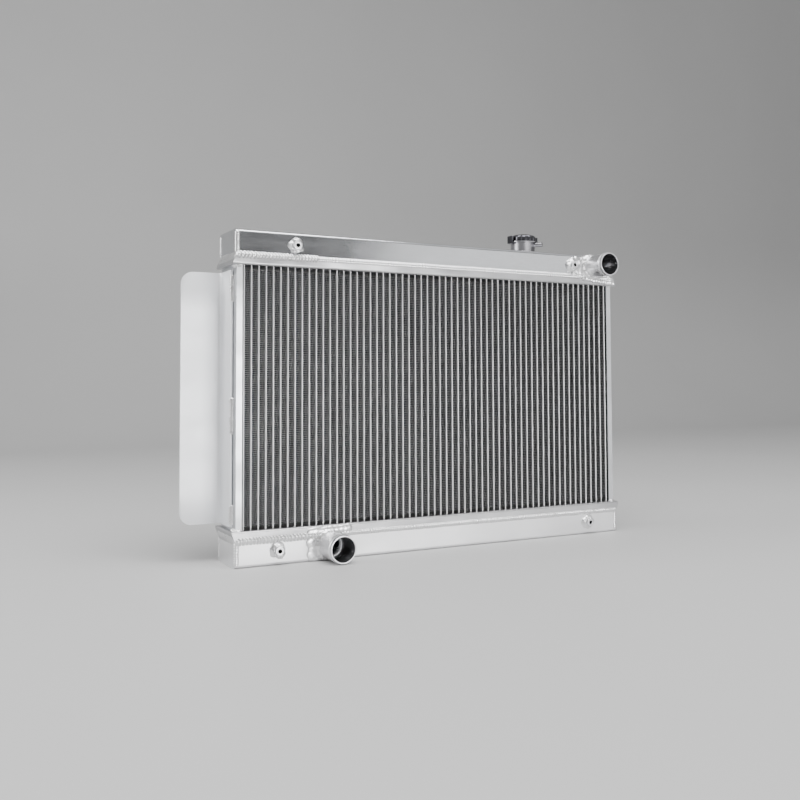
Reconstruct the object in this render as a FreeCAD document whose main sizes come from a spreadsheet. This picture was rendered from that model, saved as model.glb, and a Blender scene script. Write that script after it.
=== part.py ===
import FreeCAD, Part
import Sketcher
import math
import os
import re

# An all-aluminium down-flow car radiator: two folded tanks with welded end caps, two slotted
# header plates, a brazed core of flat tubes and folded fins between two side plates, hose
# spigots, shroud bosses, a side bracket, a drain, and a filler neck with its pressure cap.
#
# Frame: the origin is under the middle of the bottom tank. +X runs along the tanks, +Z is up,
# and -Y is the engine side, where both hose spigots point.

SIZES = [
    # core
    ("tube_count", 60, "flat tubes in each of the two rows"),
    ("tube_pitch", 10, "from one tube to the next"),
    ("tube_thickness", 2, "flat tube, across its thin side"),
    ("tube_depth", 26, "flat tube, front to back"),
    ("tube_sheet", 0.3, "wall of a flat tube"),
    ("tube_row_spacing", 30, "front row to back row"),
    ("tube_overreach", 3.5, "tube length past the core face of a header plate"),
    ("slot_clearance", 0.05, "gap around a tube in its slot or a stub in its weld"),
    ("core_height", 336.5, "between the two header plates"),
    ("fin_depth", 54, "fin strip, front to back"),
    ("fin_width", 7.9, "fin strip, from tube to tube"),
    ("fin_fold_pitch", 12, "from one fold to the next on the same side"),
    ("fin_sheet", 0.3, "thickness of the fin strip"),
    ("fin_gap", 5, "end of a fin strip to the header plate"),
    ("side_web_face", 305.8, "outer face of a side plate from the middle"),
    ("side_sheet", 1.6, "sheet of the side plates"),
    ("side_depth", 61, "side plate, front to back"),
    ("side_flange", 7.8, "flange of a side plate, across the core face"),
    # tanks and header plates
    ("tank_length", 616, "tank over its end caps"),
    ("tank_depth", 68, "tank, front to back"),
    ("tank_height", 34, "tank without its header plate"),
    ("tank_wall", 3, "sheet of the tanks and end caps"),
    ("tank_corner", 4, "outer radius of the folds"),
    ("header_length", 624, "header plate, tip to tip"),
    ("header_depth", 71, "header plate over its lips"),
    ("header_height", 12, "header plate over its lips"),
    ("header_sheet", 2.5, "sheet of the header plates"),
    ("header_corner", 3, "outer radius of the long folds"),
    ("header_shoulder", 617, "header plate where it meets the tank"),
    ("seam_bead_width", 3, "weld bead between tank and header plate, on the tank"),
    ("seam_bead_proud", 1.4, "weld bead, out from the tank"),
    ("weld_hollow", 0.35, "height of a round weld at the middle of its face, as a share"),
    # hose spigots
    ("lower_spigot_x", -177.5, "lower spigot from the middle"),
    ("lower_spigot_z", 19.2, "lower spigot above the underside"),
    ("lower_spigot_radius", 18, "outside"),
    ("upper_spigot_x", 267, "upper spigot from the middle"),
    ("upper_spigot_drop", 17.8, "upper spigot below the top of the top tank"),
    ("upper_spigot_radius", 17.5, "outside"),
    ("spigot_length", 42, "from the tank face to the mouth"),
    ("spigot_wall", 2, "wall of both spigots"),
    ("spigot_ridge", 1, "height of the hose ridge"),
    ("spigot_ridge_back", 9, "start of the ridge from the mouth"),
    ("ridge_ramp", 1.5, "slope at each side of the ridge"),
    ("ridge_land", 2, "flat top of the ridge"),
    ("spigot_weld", 6, "leg of the weld collar"),
    ("spigot_cope_reach", 40, "half of the stretch of header lip that a spigot is coped to"),
    ("tank_port_radius", 13.5, "hole in the tank behind a spigot"),
    # shroud bosses
    ("upper_boss_spacing", 454, "upper pair, hole to hole"),
    ("lower_boss_spacing", 502, "lower pair, hole to hole"),
    ("upper_boss_drop", 17.5, "upper pair below the top of the top tank"),
    ("lower_boss_z", 18.4, "lower pair above the underside"),
    ("boss_radius", 6, "outside"),
    ("boss_length", 9, "out from the tank face"),
    ("boss_hole_radius", 2.5, "core of the M6 thread"),
    ("boss_hole_depth", 8, "blind thread"),
    ("boss_weld_radius", 12, "weld collar on the tank face"),
    ("boss_weld_height", 5, "weld collar along the boss"),
    # side bracket
    ("bracket_sheet", 3, "sheet of the bracket"),
    ("bracket_edge_x", 362, "outer edge of the bracket from the middle"),
    ("bracket_back_y", 28, "back face of the bracket"),
    ("bracket_leg_y", -18, "front edge of the leg on the side plate"),
    ("bracket_bottom_z", 50, "lower edge of the bracket"),
    ("bracket_height", 327, "bracket, bottom to top"),
    ("bracket_corner", 16, "radius of the two free corners"),
    ("low_stitch_z", 52, "start of the lowest stitch"),
    ("low_stitch_run", 26, "its length"),
    ("middle_stitch_z", 166, "start of the middle stitch"),
    ("middle_stitch_run", 48, "its length"),
    ("high_stitch_z", 335, "start of the highest stitch"),
    ("high_stitch_run", 36, "its length"),
    # filler neck
    ("neck_x", 160, "filler neck from the middle"),
    ("neck_radius", 18.5, "outside"),
    ("neck_wall", 2, "wall of the neck"),
    ("neck_height", 18, "tank top to the top of the flange"),
    ("neck_flange_radius", 21.5, "flange that the cap hooks under"),
    ("neck_flange_sheet", 1.5, "thickness of the flange"),
    ("neck_notch_width", 17, "notch in the flange for an ear of the cap"),
    ("neck_notch_inner", 19.6, "bottom of the notch from the axis"),
    ("seat_radius", 11, "hole in the valve seat"),
    ("seat_height", 2.5, "top of the valve seat above the tank"),
    ("filler_hole_radius", 14, "hole in the tank under the neck"),
    ("nipple_angle", -50, "overflow nipple, degrees from +X"),
    ("nipple_height", 13.2, "overflow nipple above the tank"),
    ("nipple_radius", 3.5, "outside"),
    ("nipple_bore", 2.3, "inside radius"),
    ("nipple_reach", 30.5, "tip of the nipple from the neck axis"),
    ("nipple_shoulder", 22, "end of the thinner root, where the hose seat starts, from the neck axis"),
    ("nipple_step", 0.2, "how much thinner the root is, on the radius"),
    ("nipple_chamfer", 0.4, "at the tip"),
    ("neck_weld_leg", 3, "weld around the neck and around the drain bung"),
    # pressure cap, heights above the top tank
    ("cap_top", 28.5, "top of the shell"),
    ("cap_radius", 20.5, "shell"),
    ("cap_sheet", 1, "sheet of the shell"),
    ("cap_slope", 4, "sloped shoulder of the shell, inwards"),
    ("cap_slope_drop", 4.6, "sloped shoulder of the shell, downwards"),
    ("cap_slope_inset", 0.4, "shoulder inside the shell, past the outside one"),
    ("cap_skirt_bottom", 18.7, "lower edge of the skirt"),
    ("cap_ear_reach", 24.3, "outer face of an ear from the axis"),
    ("cap_ear_width", 12, "ear, across"),
    ("cap_ear_sheet", 1.4, "ear, bent down from the skirt"),
    ("cap_hook_inner", 20.2, "inner edge of a hook from the axis"),
    ("cap_hook_top", 16.2, "upper face of a hook"),
    ("cap_hook_bottom", 15, "lower face of a hook"),
    ("rivet_radius", 2, "shank of the cap rivet"),
    ("rivet_head", 0.8, "thickness of both heads of the rivet"),
    ("rivet_upper_spread", 1.6, "upper head past the shank"),
    ("rivet_lower_spread", 1.2, "lower head past the shank"),
    ("disc_sheet", 0.4, "spring disc"),
    ("disc_flat_radius", 5, "flat middle of the spring disc"),
    ("disc_rim", 2.7, "flat rim of the spring disc, inside to outside"),
    ("disc_play", 0.3, "rim of the disc to the shell"),
    ("bell_radius", 11, "spring bell, outside"),
    ("bell_bottom", 9, "open end of the bell"),
    ("bell_shoulder", 20.5, "top of the straight part of the bell"),
    ("bell_sheet", 0.8, "sheet of the bell"),
    ("bell_flat_radius", 4.9, "flat top of the bell"),
    ("bell_slope_inset", 0.5, "slope inside the bell, past the outside one"),
    ("valve_radius", 14.5, "pressure valve plate"),
    ("valve_gasket_radius", 14, "rubber ring under the plate"),
    ("valve_gap", 0.2, "rubber ring above its seat"),
    ("valve_gasket_hole", 4, "hole in the rubber ring"),
    ("valve_gasket_sheet", 1.5, "rubber ring"),
    ("valve_plate_sheet", 1, "plate of the pressure valve"),
    ("valve_rim_radius", 6.8, "upstand that centres the pressure spring"),
    ("valve_rim_sheet", 1, "wall of the upstand"),
    ("valve_rim_height", 5, "height of the upstand"),
    ("spring_radius", 8.4, "pressure spring, centre of the wire"),
    ("spring_wire", 1.4, "diameter of the wire"),
    ("spring_bottom", 6, "centre of the lowest turn"),
    ("spring_height", 13, "centre of the lowest turn to the highest"),
    ("spring_turns", 5, "turns of the pressure spring"),
    ("vacuum_stem_radius", 1.2, "stem of the vacuum valve"),
    ("vacuum_disc_radius", 5.5, "disc of the vacuum valve"),
    ("vacuum_disc_sheet", 1, "disc of the vacuum valve"),
    ("vacuum_stem_play", 0.08, "gap around the stem"),
    ("vacuum_head_radius", 3, "head of the vacuum valve"),
    ("vacuum_head_sheet", 0.8, "head of the vacuum valve"),
    ("vacuum_head_lift", 3.8, "head above the plate of the pressure valve"),
    ("vacuum_spring_radius", 2.2, "vacuum spring, centre of the wire"),
    ("vacuum_spring_wire", 0.4, "diameter of the wire"),
    ("vacuum_spring_foot", 0.35, "centre of the lowest turn above the plate"),
    ("vacuum_spring_height", 3.1, "centre of the lowest turn to the highest"),
    ("vacuum_spring_turns", 4, "turns of the vacuum spring"),
    # drain
    ("drain_x", 250, "drain from the middle"),
    ("drain_z", 17, "drain above the underside"),
    ("bung_radius", 9, "outside of the threaded bung"),
    ("bung_length", 12, "out from the back of the tank"),
    ("bung_chamfer", 1, "at the mouth of the bung"),
    ("drain_bore", 5, "core of the thread"),
    ("plug_radius", 4.92, "shank of the plug"),
    ("plug_shank", 10, "length of the shank"),
    ("plug_lead", 0.8, "chamfer at the end of the shank"),
    ("plug_head_flats", 14, "across the flats of the head"),
    ("plug_head_height", 6, "height of the head"),
    ("washer_radius", 8, "sealing washer, outside"),
    ("washer_thickness", 1.2, "sealing washer"),
    ("washer_play", 0.2, "gap between the washer and the shank"),
]

# Sizes that follow from the others, as formulas in the sheet's own words.
HEADER_TOP = "(tank_height + header_height)"
UPPER_FACE = "(tank_height + header_height + core_height)"
TOTAL = "(2 * (tank_height + header_height) + core_height)"
FIRST_TUBE = "(-(tube_count - 1) / 2 * tube_pitch)"
FRONT = "(tank_depth / 2)"

doc = FreeCAD.newDocument("Radiator")
sheet = doc.addObject("Spreadsheet::Sheet", "Sizes")
for row, (alias, value, meaning) in enumerate(SIZES, start=1):
    sheet.set(f"A{row}", meaning)
    sheet.set(f"B{row}", str(value))
    sheet.setAlias(f"B{row}", alias)
doc.recompute()
ALIASES = {alias for alias, _, _ in SIZES}
SUB_PARTS = []


def bound(formula):
    """The expression that FreeCAD reads for a formula in the sheet's words."""
    return re.sub(r"[a-z][a-z_]+", lambda word: "Sizes." + word.group()
                  if word.group() in ALIASES else word.group(), str(formula))


def number(formula):
    """What the formula comes to now."""
    return float(sheet.evalExpression(bound(formula)))


def keep(item, label):
    """Names a finished sub-part and puts it on the list that is written out."""
    item.Label = label
    SUB_PARTS.append(item)
    return item


def place(item, x="0", y="0", z="0", axis=None, angle=0):
    """Puts an object where three formulas say, turned about one axis."""
    if axis is not None:
        item.Placement = FreeCAD.Placement(FreeCAD.Vector(), FreeCAD.Rotation(axis, angle))
    for name, formula in (("x", x), ("y", y), ("z", z)):
        item.setExpression(f"Placement.Base.{name}", bound(formula))


def new_body(name):
    body = doc.addObject("PartDesign::Body", name)
    body.AllowCompound = True
    return body


def new_sketch(body, plane, lift="0"):
    """A sketch on one of the body's origin planes, lifted along that plane's normal."""
    support = next(item for item in body.Origin.OriginFeatures if item.Role == plane)
    sketch = body.newObject("Sketcher::SketchObject", body.Name + "_sketch")
    sketch.AttachmentSupport = (support, [""])
    sketch.MapMode = "FlatFace"
    sketch.setExpression("AttachmentOffset.Base.z", bound(lift))
    return sketch


def fix(sketch, index, point, across, up):
    """Ties one point of a sketch to the sheet, along and up from the sketch's origin."""
    for kind, formula in (("DistanceX", across), ("DistanceY", up)):
        datum = sketch.addConstraint(Sketcher.Constraint(kind, index, point, number(formula)))
        sketch.setExpression(f"Constraints[{datum}]", bound(formula))


def outline(sketch, corners):
    """A closed outline of straight edges through corners given as pairs of formulas."""
    points = [FreeCAD.Vector(number(across), number(up), 0) for across, up in corners]
    first = len(sketch.Geometry)
    count = len(points)
    for step in range(count):
        sketch.addGeometry(Part.LineSegment(points[step], points[(step + 1) % count]), False)
    for step in range(count):
        following = first + (step + 1) % count
        sketch.addConstraint(Sketcher.Constraint("Coincident", first + step, 2, following, 1))
        fix(sketch, first + step, 1, *corners[step])


def rectangle(sketch, left, bottom, right, top):
    outline(sketch, [(left, bottom), (right, bottom), (right, top), (left, top)])


def circle(sketch, across, up, radius):
    centre = FreeCAD.Vector(number(across), number(up), 0)
    index = sketch.addGeometry(Part.Circle(centre, FreeCAD.Vector(0, 0, 1), number(radius)), False)
    fix(sketch, index, 3, across, up)
    datum = sketch.addConstraint(Sketcher.Constraint("Radius", index, number(radius)))
    sketch.setExpression(f"Constraints[{datum}]", bound(radius))


def flat_oval(sketch, across, up, width, length):
    """A slot outline, its long side up the sketch, with round ends."""
    radius = number(width) / 2
    reach = f"(({length}) - ({width})) / 2"
    middle = number(across)
    low = number(up) - number(reach)
    high = number(up) + number(reach)
    normal = FreeCAD.Vector(0, 0, 1)
    upper = sketch.addGeometry(Part.ArcOfCircle(
        Part.Circle(FreeCAD.Vector(middle, high, 0), normal, radius), 0, math.pi), False)
    left = sketch.addGeometry(Part.LineSegment(
        FreeCAD.Vector(middle - radius, high, 0), FreeCAD.Vector(middle - radius, low, 0)), False)
    lower = sketch.addGeometry(Part.ArcOfCircle(
        Part.Circle(FreeCAD.Vector(middle, low, 0), normal, radius), math.pi, 2 * math.pi), False)
    right = sketch.addGeometry(Part.LineSegment(
        FreeCAD.Vector(middle + radius, low, 0), FreeCAD.Vector(middle + radius, high, 0)), False)
    chain = ((upper, 2, left, 1), (left, 2, lower, 1), (lower, 2, right, 1), (right, 2, upper, 1))
    for joint in chain:
        sketch.addConstraint(Sketcher.Constraint("Tangent", *joint))
    sketch.addConstraint(Sketcher.Constraint("Equal", upper, lower))
    fix(sketch, upper, 3, across, f"{up} + {reach}")
    fix(sketch, lower, 3, across, f"{up} - {reach}")
    datum = sketch.addConstraint(Sketcher.Constraint("Radius", upper, radius))
    sketch.setExpression(f"Constraints[{datum}]", bound(f"({width}) / 2"))


def pad(body, sketch, length):
    feature = body.newObject("PartDesign::Pad", body.Name + "_pad")
    feature.Profile = sketch
    feature.setExpression("Length", bound(length))
    doc.recompute()
    return feature


def pocket(body, sketch, depth, along_normal=False):
    """Cuts against the sketch's normal, or along it, and makes sure that it did cut."""
    before = body.Shape.Volume
    feature = body.newObject("PartDesign::Pocket", body.Name + "_pocket")
    feature.Profile = sketch
    feature.Reversed = along_normal
    feature.setExpression("Length", bound(depth))
    doc.recompute()
    if body.Shape.Volume >= before - 1e-6:
        raise RuntimeError(f"{feature.Name} cuts nothing")
    return feature


def turned(body, corners):
    """Revolves an outline of (radius, height) corners about the body's own Z axis."""
    sketch = new_sketch(body, "XZ_Plane")
    outline(sketch, corners)
    feature = body.newObject("PartDesign::Revolution", body.Name + "_turning")
    feature.Profile = sketch
    feature.ReferenceAxis = (sketch, ["V_Axis"])
    feature.Angle = 360
    doc.recompute()
    return feature


def row_of(body, feature, pitch, count):
    """Repeats one feature along the body's X axis."""
    pattern = body.newObject("PartDesign::LinearPattern", body.Name + "_row")
    pattern.Originals = [feature]
    axis = next(item for item in body.Origin.OriginFeatures if item.Role == "X_Axis")
    pattern.Direction = (axis, [""])
    pattern.setExpression("Length", bound(f"{pitch} * ({count} - 1)"))
    pattern.setExpression("Occurrences", bound(count))
    body.Tip = pattern
    doc.recompute()
    return pattern


def rounded(body, feature, radius, along, is_wanted):
    """Fillets the edges along one axis, x, y or z, whose two end points pass a test."""
    names = []
    for index, edge in enumerate(feature.Shape.Edges, start=1):
        ends = [vertex.Point for vertex in edge.Vertexes]
        run = ends[-1] - ends[0]
        if near(abs(getattr(run, along)), run.Length) and run.Length > 0.01:
            if all(is_wanted(end) for end in ends):
                names.append(f"Edge{index}")
    if not names:
        raise RuntimeError(f"{body.Name} has no edge to round")
    fillet = body.newObject("PartDesign::Fillet", body.Name + "_round")
    fillet.Base = (feature, names)
    fillet.setExpression("Radius", bound(radius))
    doc.recompute()
    return fillet


def block(name, low, high):
    """A plain box between two corners given as formulas, used as a cutting tool."""
    box = doc.addObject("Part::Box", name)
    for side, start, end in zip(("Length", "Width", "Height"), low, high):
        box.setExpression(side, bound(f"({end}) - ({start})"))
    place(box, *low)
    return box


def cut(label, base, tools):
    """The base less one or more tools, as one finished sub-part."""
    for step, tool in enumerate(tools, start=1):
        result = doc.addObject("Part::Cut", f"{label}_cut_{step}")
        result.Base = base
        result.Tool = tool
        base = result
    doc.recompute()
    return keep(base, label)


def near(value, target):
    return abs(value - target) < 0.01


# ---- tanks: one sheet folded into a channel, closed by a plate at each end -----------------

def tank_channel(label, base, up):
    """A folded channel whose closed side lies at base and whose open side faces the core."""
    body = new_body(label)
    half = f"{FRONT}"
    inner = f"({FRONT} - tank_wall)"
    sketch = new_sketch(body, "YZ_Plane", "-tank_length / 2 + tank_wall")
    outline(sketch, [
        (f"-{half}", base), (half, base),
        (half, f"{base} {up} tank_height"), (inner, f"{base} {up} tank_height"),
        (inner, f"{base} {up} tank_wall"), (f"-{inner}", f"{base} {up} tank_wall"),
        (f"-{inner}", f"{base} {up} tank_height"), (f"-{half}", f"{base} {up} tank_height")])
    feature = pad(body, sketch, "tank_length - 2 * tank_wall")
    closed = number(base)
    depth = number(FRONT)
    rounded(body, feature, "tank_corner", "x",
            lambda point: near(point.z, closed) and near(abs(point.y), depth))
    return body


def port(body, x, z, radius):
    """A round hole through the front wall of a tank."""
    sketch = new_sketch(body, "XZ_Plane", FRONT)
    circle(sketch, x, z, radius)
    pocket(body, sketch, "2 * tank_wall")


bottom_tank = tank_channel("bottom_tank", "0", "+")
port(bottom_tank, "lower_spigot_x", "lower_spigot_z", "tank_port_radius")
drain_hole = new_sketch(bottom_tank, "XZ_Plane", f"-{FRONT}")
circle(drain_hole, "drain_x", "drain_z", "drain_bore")
pocket(bottom_tank, drain_hole, "2 * tank_wall", along_normal=True)
keep(bottom_tank, "bottom_tank")

top_tank = tank_channel("top_tank", TOTAL, "-")
port(top_tank, "upper_spigot_x", f"{TOTAL} - upper_spigot_drop", "tank_port_radius")
filler_hole = new_sketch(top_tank, "XY_Plane", TOTAL)
circle(filler_hole, "neck_x", "0", "filler_hole_radius")
pocket(top_tank, filler_hole, "2 * tank_wall")
keep(top_tank, "top_tank")


def end_cap(label, start, base, up):
    body = new_body(label)
    sketch = new_sketch(body, "YZ_Plane", start)
    rectangle(sketch, f"-{FRONT}", base, FRONT, f"{base} {up} tank_height")
    feature = pad(body, sketch, "tank_wall")
    closed = number(base)
    rounded(body, feature, "tank_corner", "x", lambda point: near(point.z, closed)
            and near(abs(point.y), number(FRONT)))
    keep(body, label)


for tank, base, up in (("bottom", "0", "+"), ("top", TOTAL, "-")):
    end_cap(f"{tank}_end_cap_left", "-tank_length / 2", base, up)
    end_cap(f"{tank}_end_cap_right", "tank_length / 2 - tank_wall", base, up)


# ---- header plates: a lipped tray, slotted for the tubes, with a pointed end past each cap --

def header_plate(label, core_face, up):
    """up points from the core face to the tank."""
    body = new_body(label)
    tank_side = f"{core_face} {up} header_height"
    step = f"{core_face} {up} header_sheet"
    tip = "header_length / 2"
    shoulder = "header_shoulder / 2"
    sketch = new_sketch(body, "XZ_Plane", "-header_depth / 2")
    outline(sketch, [(f"-{tip}", core_face), (tip, core_face), (tip, step), (shoulder, tank_side),
                     (f"-{shoulder}", tank_side), (f"-{tip}", step)])
    feature = pad(body, sketch, "header_depth")
    face = number(core_face)
    lip = number("header_depth / 2")
    feature = rounded(body, feature, "header_corner", "x",
                      lambda point: near(point.z, face) and near(abs(point.y), lip))
    tray = new_sketch(body, "XY_Plane", tank_side)
    length = "(header_shoulder / 2 - 2 * tank_wall)"
    depth = "(header_depth / 2 - header_sheet)"
    rectangle(tray, f"-{length}", f"-{depth}", length, depth)
    downwards = up == "-"
    pocket(body, tray, "header_height - header_sheet", along_normal=downwards)
    slots = new_sketch(body, "XY_Plane", tank_side)
    for row in ("-tube_row_spacing / 2", "tube_row_spacing / 2"):
        flat_oval(slots, FIRST_TUBE, row, "tube_thickness + 2 * slot_clearance",
                  "tube_depth + 2 * slot_clearance")
    row_of(body, pocket(body, slots, "header_height + tank_wall", along_normal=downwards),
           "tube_pitch", "tube_count")
    keep(body, label)


header_plate("bottom_header_plate", HEADER_TOP, "-")
header_plate("top_header_plate", UPPER_FACE, "+")


# ---- core: two rows of flat tubes, folded fins between them, a side plate at each end -------

core_tubes = new_body("core_tubes")
tube_section = new_sketch(core_tubes, "XY_Plane", f"{HEADER_TOP} - tube_overreach")
for row in ("-tube_row_spacing / 2", "tube_row_spacing / 2"):
    flat_oval(tube_section, FIRST_TUBE, row, "tube_thickness", "tube_depth")
    flat_oval(tube_section, FIRST_TUBE, row, "tube_thickness - 2 * tube_sheet",
              "tube_depth - 2 * tube_sheet")
tube_pair = pad(core_tubes, tube_section, "core_height + 2 * tube_overreach")
row_of(core_tubes, tube_pair, "tube_pitch", "tube_count")
keep(core_tubes, "core_tubes")


def folded_strip(width, height, depth, fold_pitch, thickness):
    """A zigzag strip standing on z = 0, as wide and deep as its column."""
    folds = int(height // fold_pitch)
    rise = height / folds / 2
    across = thickness * math.hypot(width, rise) / rise
    swing = width - across
    left = [FreeCAD.Vector(-width / 2 + swing * (step % 2), -depth / 2, step * rise)
            for step in range(2 * folds + 1)]
    right = [point + FreeCAD.Vector(across, 0, 0) for point in reversed(left)]
    wire = Part.makePolygon(left + right + left[:1])
    return Part.Face(wire).extrude(FreeCAD.Vector(0, depth, 0))


# The fins follow a rule that has no sketch: every strip is the same zigzag, one per gap.
core_fins = doc.addObject("Part::Feature", "core_fins")
strip = folded_strip(number("fin_width"), number("core_height - 2 * fin_gap"), number("fin_depth"),
                     number("fin_fold_pitch"), number("fin_sheet"))
fin_columns = int(number("tube_count")) + 1
first_column = number(f"{FIRST_TUBE} - tube_pitch / 2")
core_fins.Shape = Part.makeCompound([
    strip.translated(FreeCAD.Vector(first_column + column * number("tube_pitch"), 0, 0))
    for column in range(fin_columns)])
place(core_fins, z=f"{HEADER_TOP} + fin_gap")
keep(core_fins, "core_fins")

for side, sign in (("left", "-"), ("right", "")):
    side_plate = new_body(f"side_plate_{side}")
    section = new_sketch(side_plate, "XY_Plane", HEADER_TOP)
    outer = f"{sign}side_web_face"
    web = f"{sign}(side_web_face - side_sheet)"
    tip = f"{sign}(side_web_face - side_flange)"
    reach = "side_depth / 2"
    lip = "(side_depth / 2 - side_sheet)"
    outline(section, [(outer, f"-{reach}"), (outer, reach), (tip, reach), (tip, lip),
                      (web, lip), (web, f"-{lip}"), (tip, f"-{lip}"), (tip, f"-{reach}")])
    pad(side_plate, section, "core_height")
    keep(side_plate, f"side_plate_{side}")


# ---- side bracket: an angle welded to the left side plate, in three stitches ----------------

side_bracket = new_body("side_bracket")
angle = new_sketch(side_bracket, "XY_Plane", "bracket_bottom_z")
outline(angle, [
    ("-side_web_face", "bracket_leg_y"), ("-side_web_face", "bracket_back_y"),
    ("-bracket_edge_x", "bracket_back_y"), ("-bracket_edge_x", "bracket_back_y - bracket_sheet"),
    ("-side_web_face - bracket_sheet", "bracket_back_y - bracket_sheet"),
    ("-side_web_face - bracket_sheet", "bracket_leg_y")])
wing = pad(side_bracket, angle, "bracket_height")
wing_edge = number("-bracket_edge_x")
wing_ends = (number("bracket_bottom_z"), number("bracket_bottom_z + bracket_height"))
for wing_end in wing_ends:
    wing = rounded(side_bracket, wing, "bracket_corner", "y",
                   lambda point: near(point.x, wing_edge) and near(point.z, wing_end))
keep(side_bracket, "side_bracket")

stitches = new_body("bracket_stitch_welds")
for stitch in ("low", "middle", "high"):
    corner = new_sketch(stitches, "XY_Plane", f"{stitch}_stitch_z")
    outline(corner, [("-side_web_face", "bracket_leg_y"),
                     ("-side_web_face - bracket_sheet", "bracket_leg_y"),
                     ("-side_web_face", "bracket_leg_y - bracket_sheet")])
    pad(stitches, corner, f"{stitch}_stitch_run")
keep(stitches, "bracket_stitch_welds")


# ---- seam welds: a bead in the step between each tank and its header plate -------------------

def seam_weld(label, seam, up):
    """up points from the seam to the tank."""
    body = new_body(label)
    ends = new_sketch(body, "YZ_Plane", "-tank_length / 2")
    for sign in ("-", ""):
        outline(ends, [(f"{sign}{FRONT}", seam),
                       (f"{sign}({FRONT} + seam_bead_proud)", seam),
                       (f"{sign}{FRONT}", f"{seam} {up} seam_bead_width")])
    pad(body, ends, "tank_length")
    keep(body, label)


seam_weld("bottom_seam_weld", "tank_height", "-")
seam_weld("top_seam_weld", f"({UPPER_FACE} + header_height)", "+")


# ---- hose spigots: a rolled tube on each tank face, coped over the header lip ----------------

TO_FRONT = FreeCAD.Vector(1, 0, 0)


def spigot(name, radius):
    """Turned about its own axis, its tank end at zero and its mouth up."""
    body = new_body(name)
    ridge = "(spigot_length - spigot_ridge_back)"
    crest = f"{radius} + spigot_ridge"
    turned(body, [
        (f"{radius} - spigot_wall", "0"), (radius, "0"), (radius, ridge),
        (crest, f"{ridge} + ridge_ramp"), (crest, f"{ridge} + ridge_ramp + ridge_land"),
        (radius, f"{ridge} + 2 * ridge_ramp + ridge_land"),
        (radius, "spigot_length"), (f"{radius} - spigot_wall", "spigot_length")])
    return body


def weld_ring(name, radius, spread, height):
    """A hollow-faced fillet around a round stub."""
    body = new_body(name)
    inner = f"({radius} + slot_clearance)"
    turned(body, [(inner, "0"), (f"{inner} + {spread}", "0"),
                  (f"{inner} + {spread} * weld_hollow", f"{height} * weld_hollow"),
                  (inner, height)])
    return body


lip_face = "-header_depth / 2"
for level, radius, x, z in (
        ("lower", "lower_spigot_radius", "lower_spigot_x", "lower_spigot_z"),
        ("upper", "upper_spigot_radius", "upper_spigot_x", f"{TOTAL} - upper_spigot_drop")):
    seam = {"lower": "tank_height - seam_bead_width",
            "upper": f"{UPPER_FACE} + header_height + seam_bead_width"}[level]
    core_side = {"lower": HEADER_TOP, "upper": UPPER_FACE}[level]
    low, high = (seam, core_side) if level == "lower" else (core_side, seam)
    tube = spigot(f"{level}_spigot_tube", radius)
    collar = weld_ring(f"{level}_spigot_collar", radius, "spigot_weld", "spigot_weld")
    for item in (tube, collar):
        place(item, x, f"-{FRONT}", z, TO_FRONT, 90)
    around = (f"{x} - spigot_cope_reach", f"{x} + spigot_cope_reach")
    lip = [block(f"{level}_{item}_lip", (around[0], lip_face, low),
                 (around[1], f"-{FRONT} + tank_wall", high)) for item in ("tube", "collar")]
    edge = {"lower": ("-spigot_cope_reach", "0"),
            "upper": (TOTAL, f"{TOTAL} + spigot_cope_reach")}[level]
    beyond = block(f"{level}_collar_edge", (around[0], f"-{FRONT} - spigot_cope_reach", edge[0]),
                   (around[1], f"-{FRONT} + tank_wall", edge[1]))
    cut(f"{level}_hose_spigot", tube, lip[:1])
    cut(f"{level}_spigot_weld", collar, [lip[1], beyond])


# ---- shroud bosses: four short threaded stubs on the tank faces ------------------------------

for level, spacing, z in (("upper", "upper_boss_spacing", f"{TOTAL} - upper_boss_drop"),
                          ("lower", "lower_boss_spacing", "lower_boss_z")):
    bosses = new_body(f"{level}_shroud_bosses")
    stubs = new_sketch(bosses, "XZ_Plane", FRONT)
    holes = new_sketch(bosses, "XZ_Plane", f"{FRONT} + boss_length")
    for sign in ("-", ""):
        circle(stubs, f"{sign}{spacing} / 2", z, "boss_radius")
        circle(holes, f"{sign}{spacing} / 2", z, "boss_hole_radius")
    pad(bosses, stubs, "boss_length")
    pocket(bosses, holes, "boss_hole_depth")
    keep(bosses, f"{level}_shroud_bosses")
    rings = []
    for side, sign in (("left", "-"), ("right", "")):
        ring = weld_ring(f"{level}_{side}_ring", "boss_radius",
                         "(boss_weld_radius - boss_radius)", "boss_weld_height")
        place(ring, f"{sign}{spacing} / 2", f"-{FRONT}", z, TO_FRONT, 90)
        rings.append(ring)
    pair = doc.addObject("Part::Compound", f"{level}_boss_welds")
    pair.Links = rings
    keep(pair, f"{level}_boss_welds")


# ---- filler neck: valve seat, overflow nipple and a notched flange ---------------------------

neck_body = new_body("neck_turning")
bore = "(neck_radius - neck_wall)"
under_flange = "(neck_height - neck_flange_sheet)"
turned(neck_body, [
    ("seat_radius", "0"), ("neck_radius", "0"), ("neck_radius", under_flange),
    ("neck_flange_radius", under_flange), ("neck_flange_radius", "neck_height"),
    (bore, "neck_height"), (bore, "seat_height"), ("seat_radius", "seat_height")])
notches = new_sketch(neck_body, "XY_Plane", "neck_height")
for near_edge, far_edge in (("neck_notch_inner", "neck_flange_radius + neck_wall"),
                            ("-neck_flange_radius - neck_wall", "-neck_notch_inner")):
    rectangle(notches, "-neck_notch_width / 2", near_edge, "neck_notch_width / 2", far_edge)
pocket(neck_body, notches, "neck_flange_sheet")
place(neck_body, "neck_x", "0", TOTAL)

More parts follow.
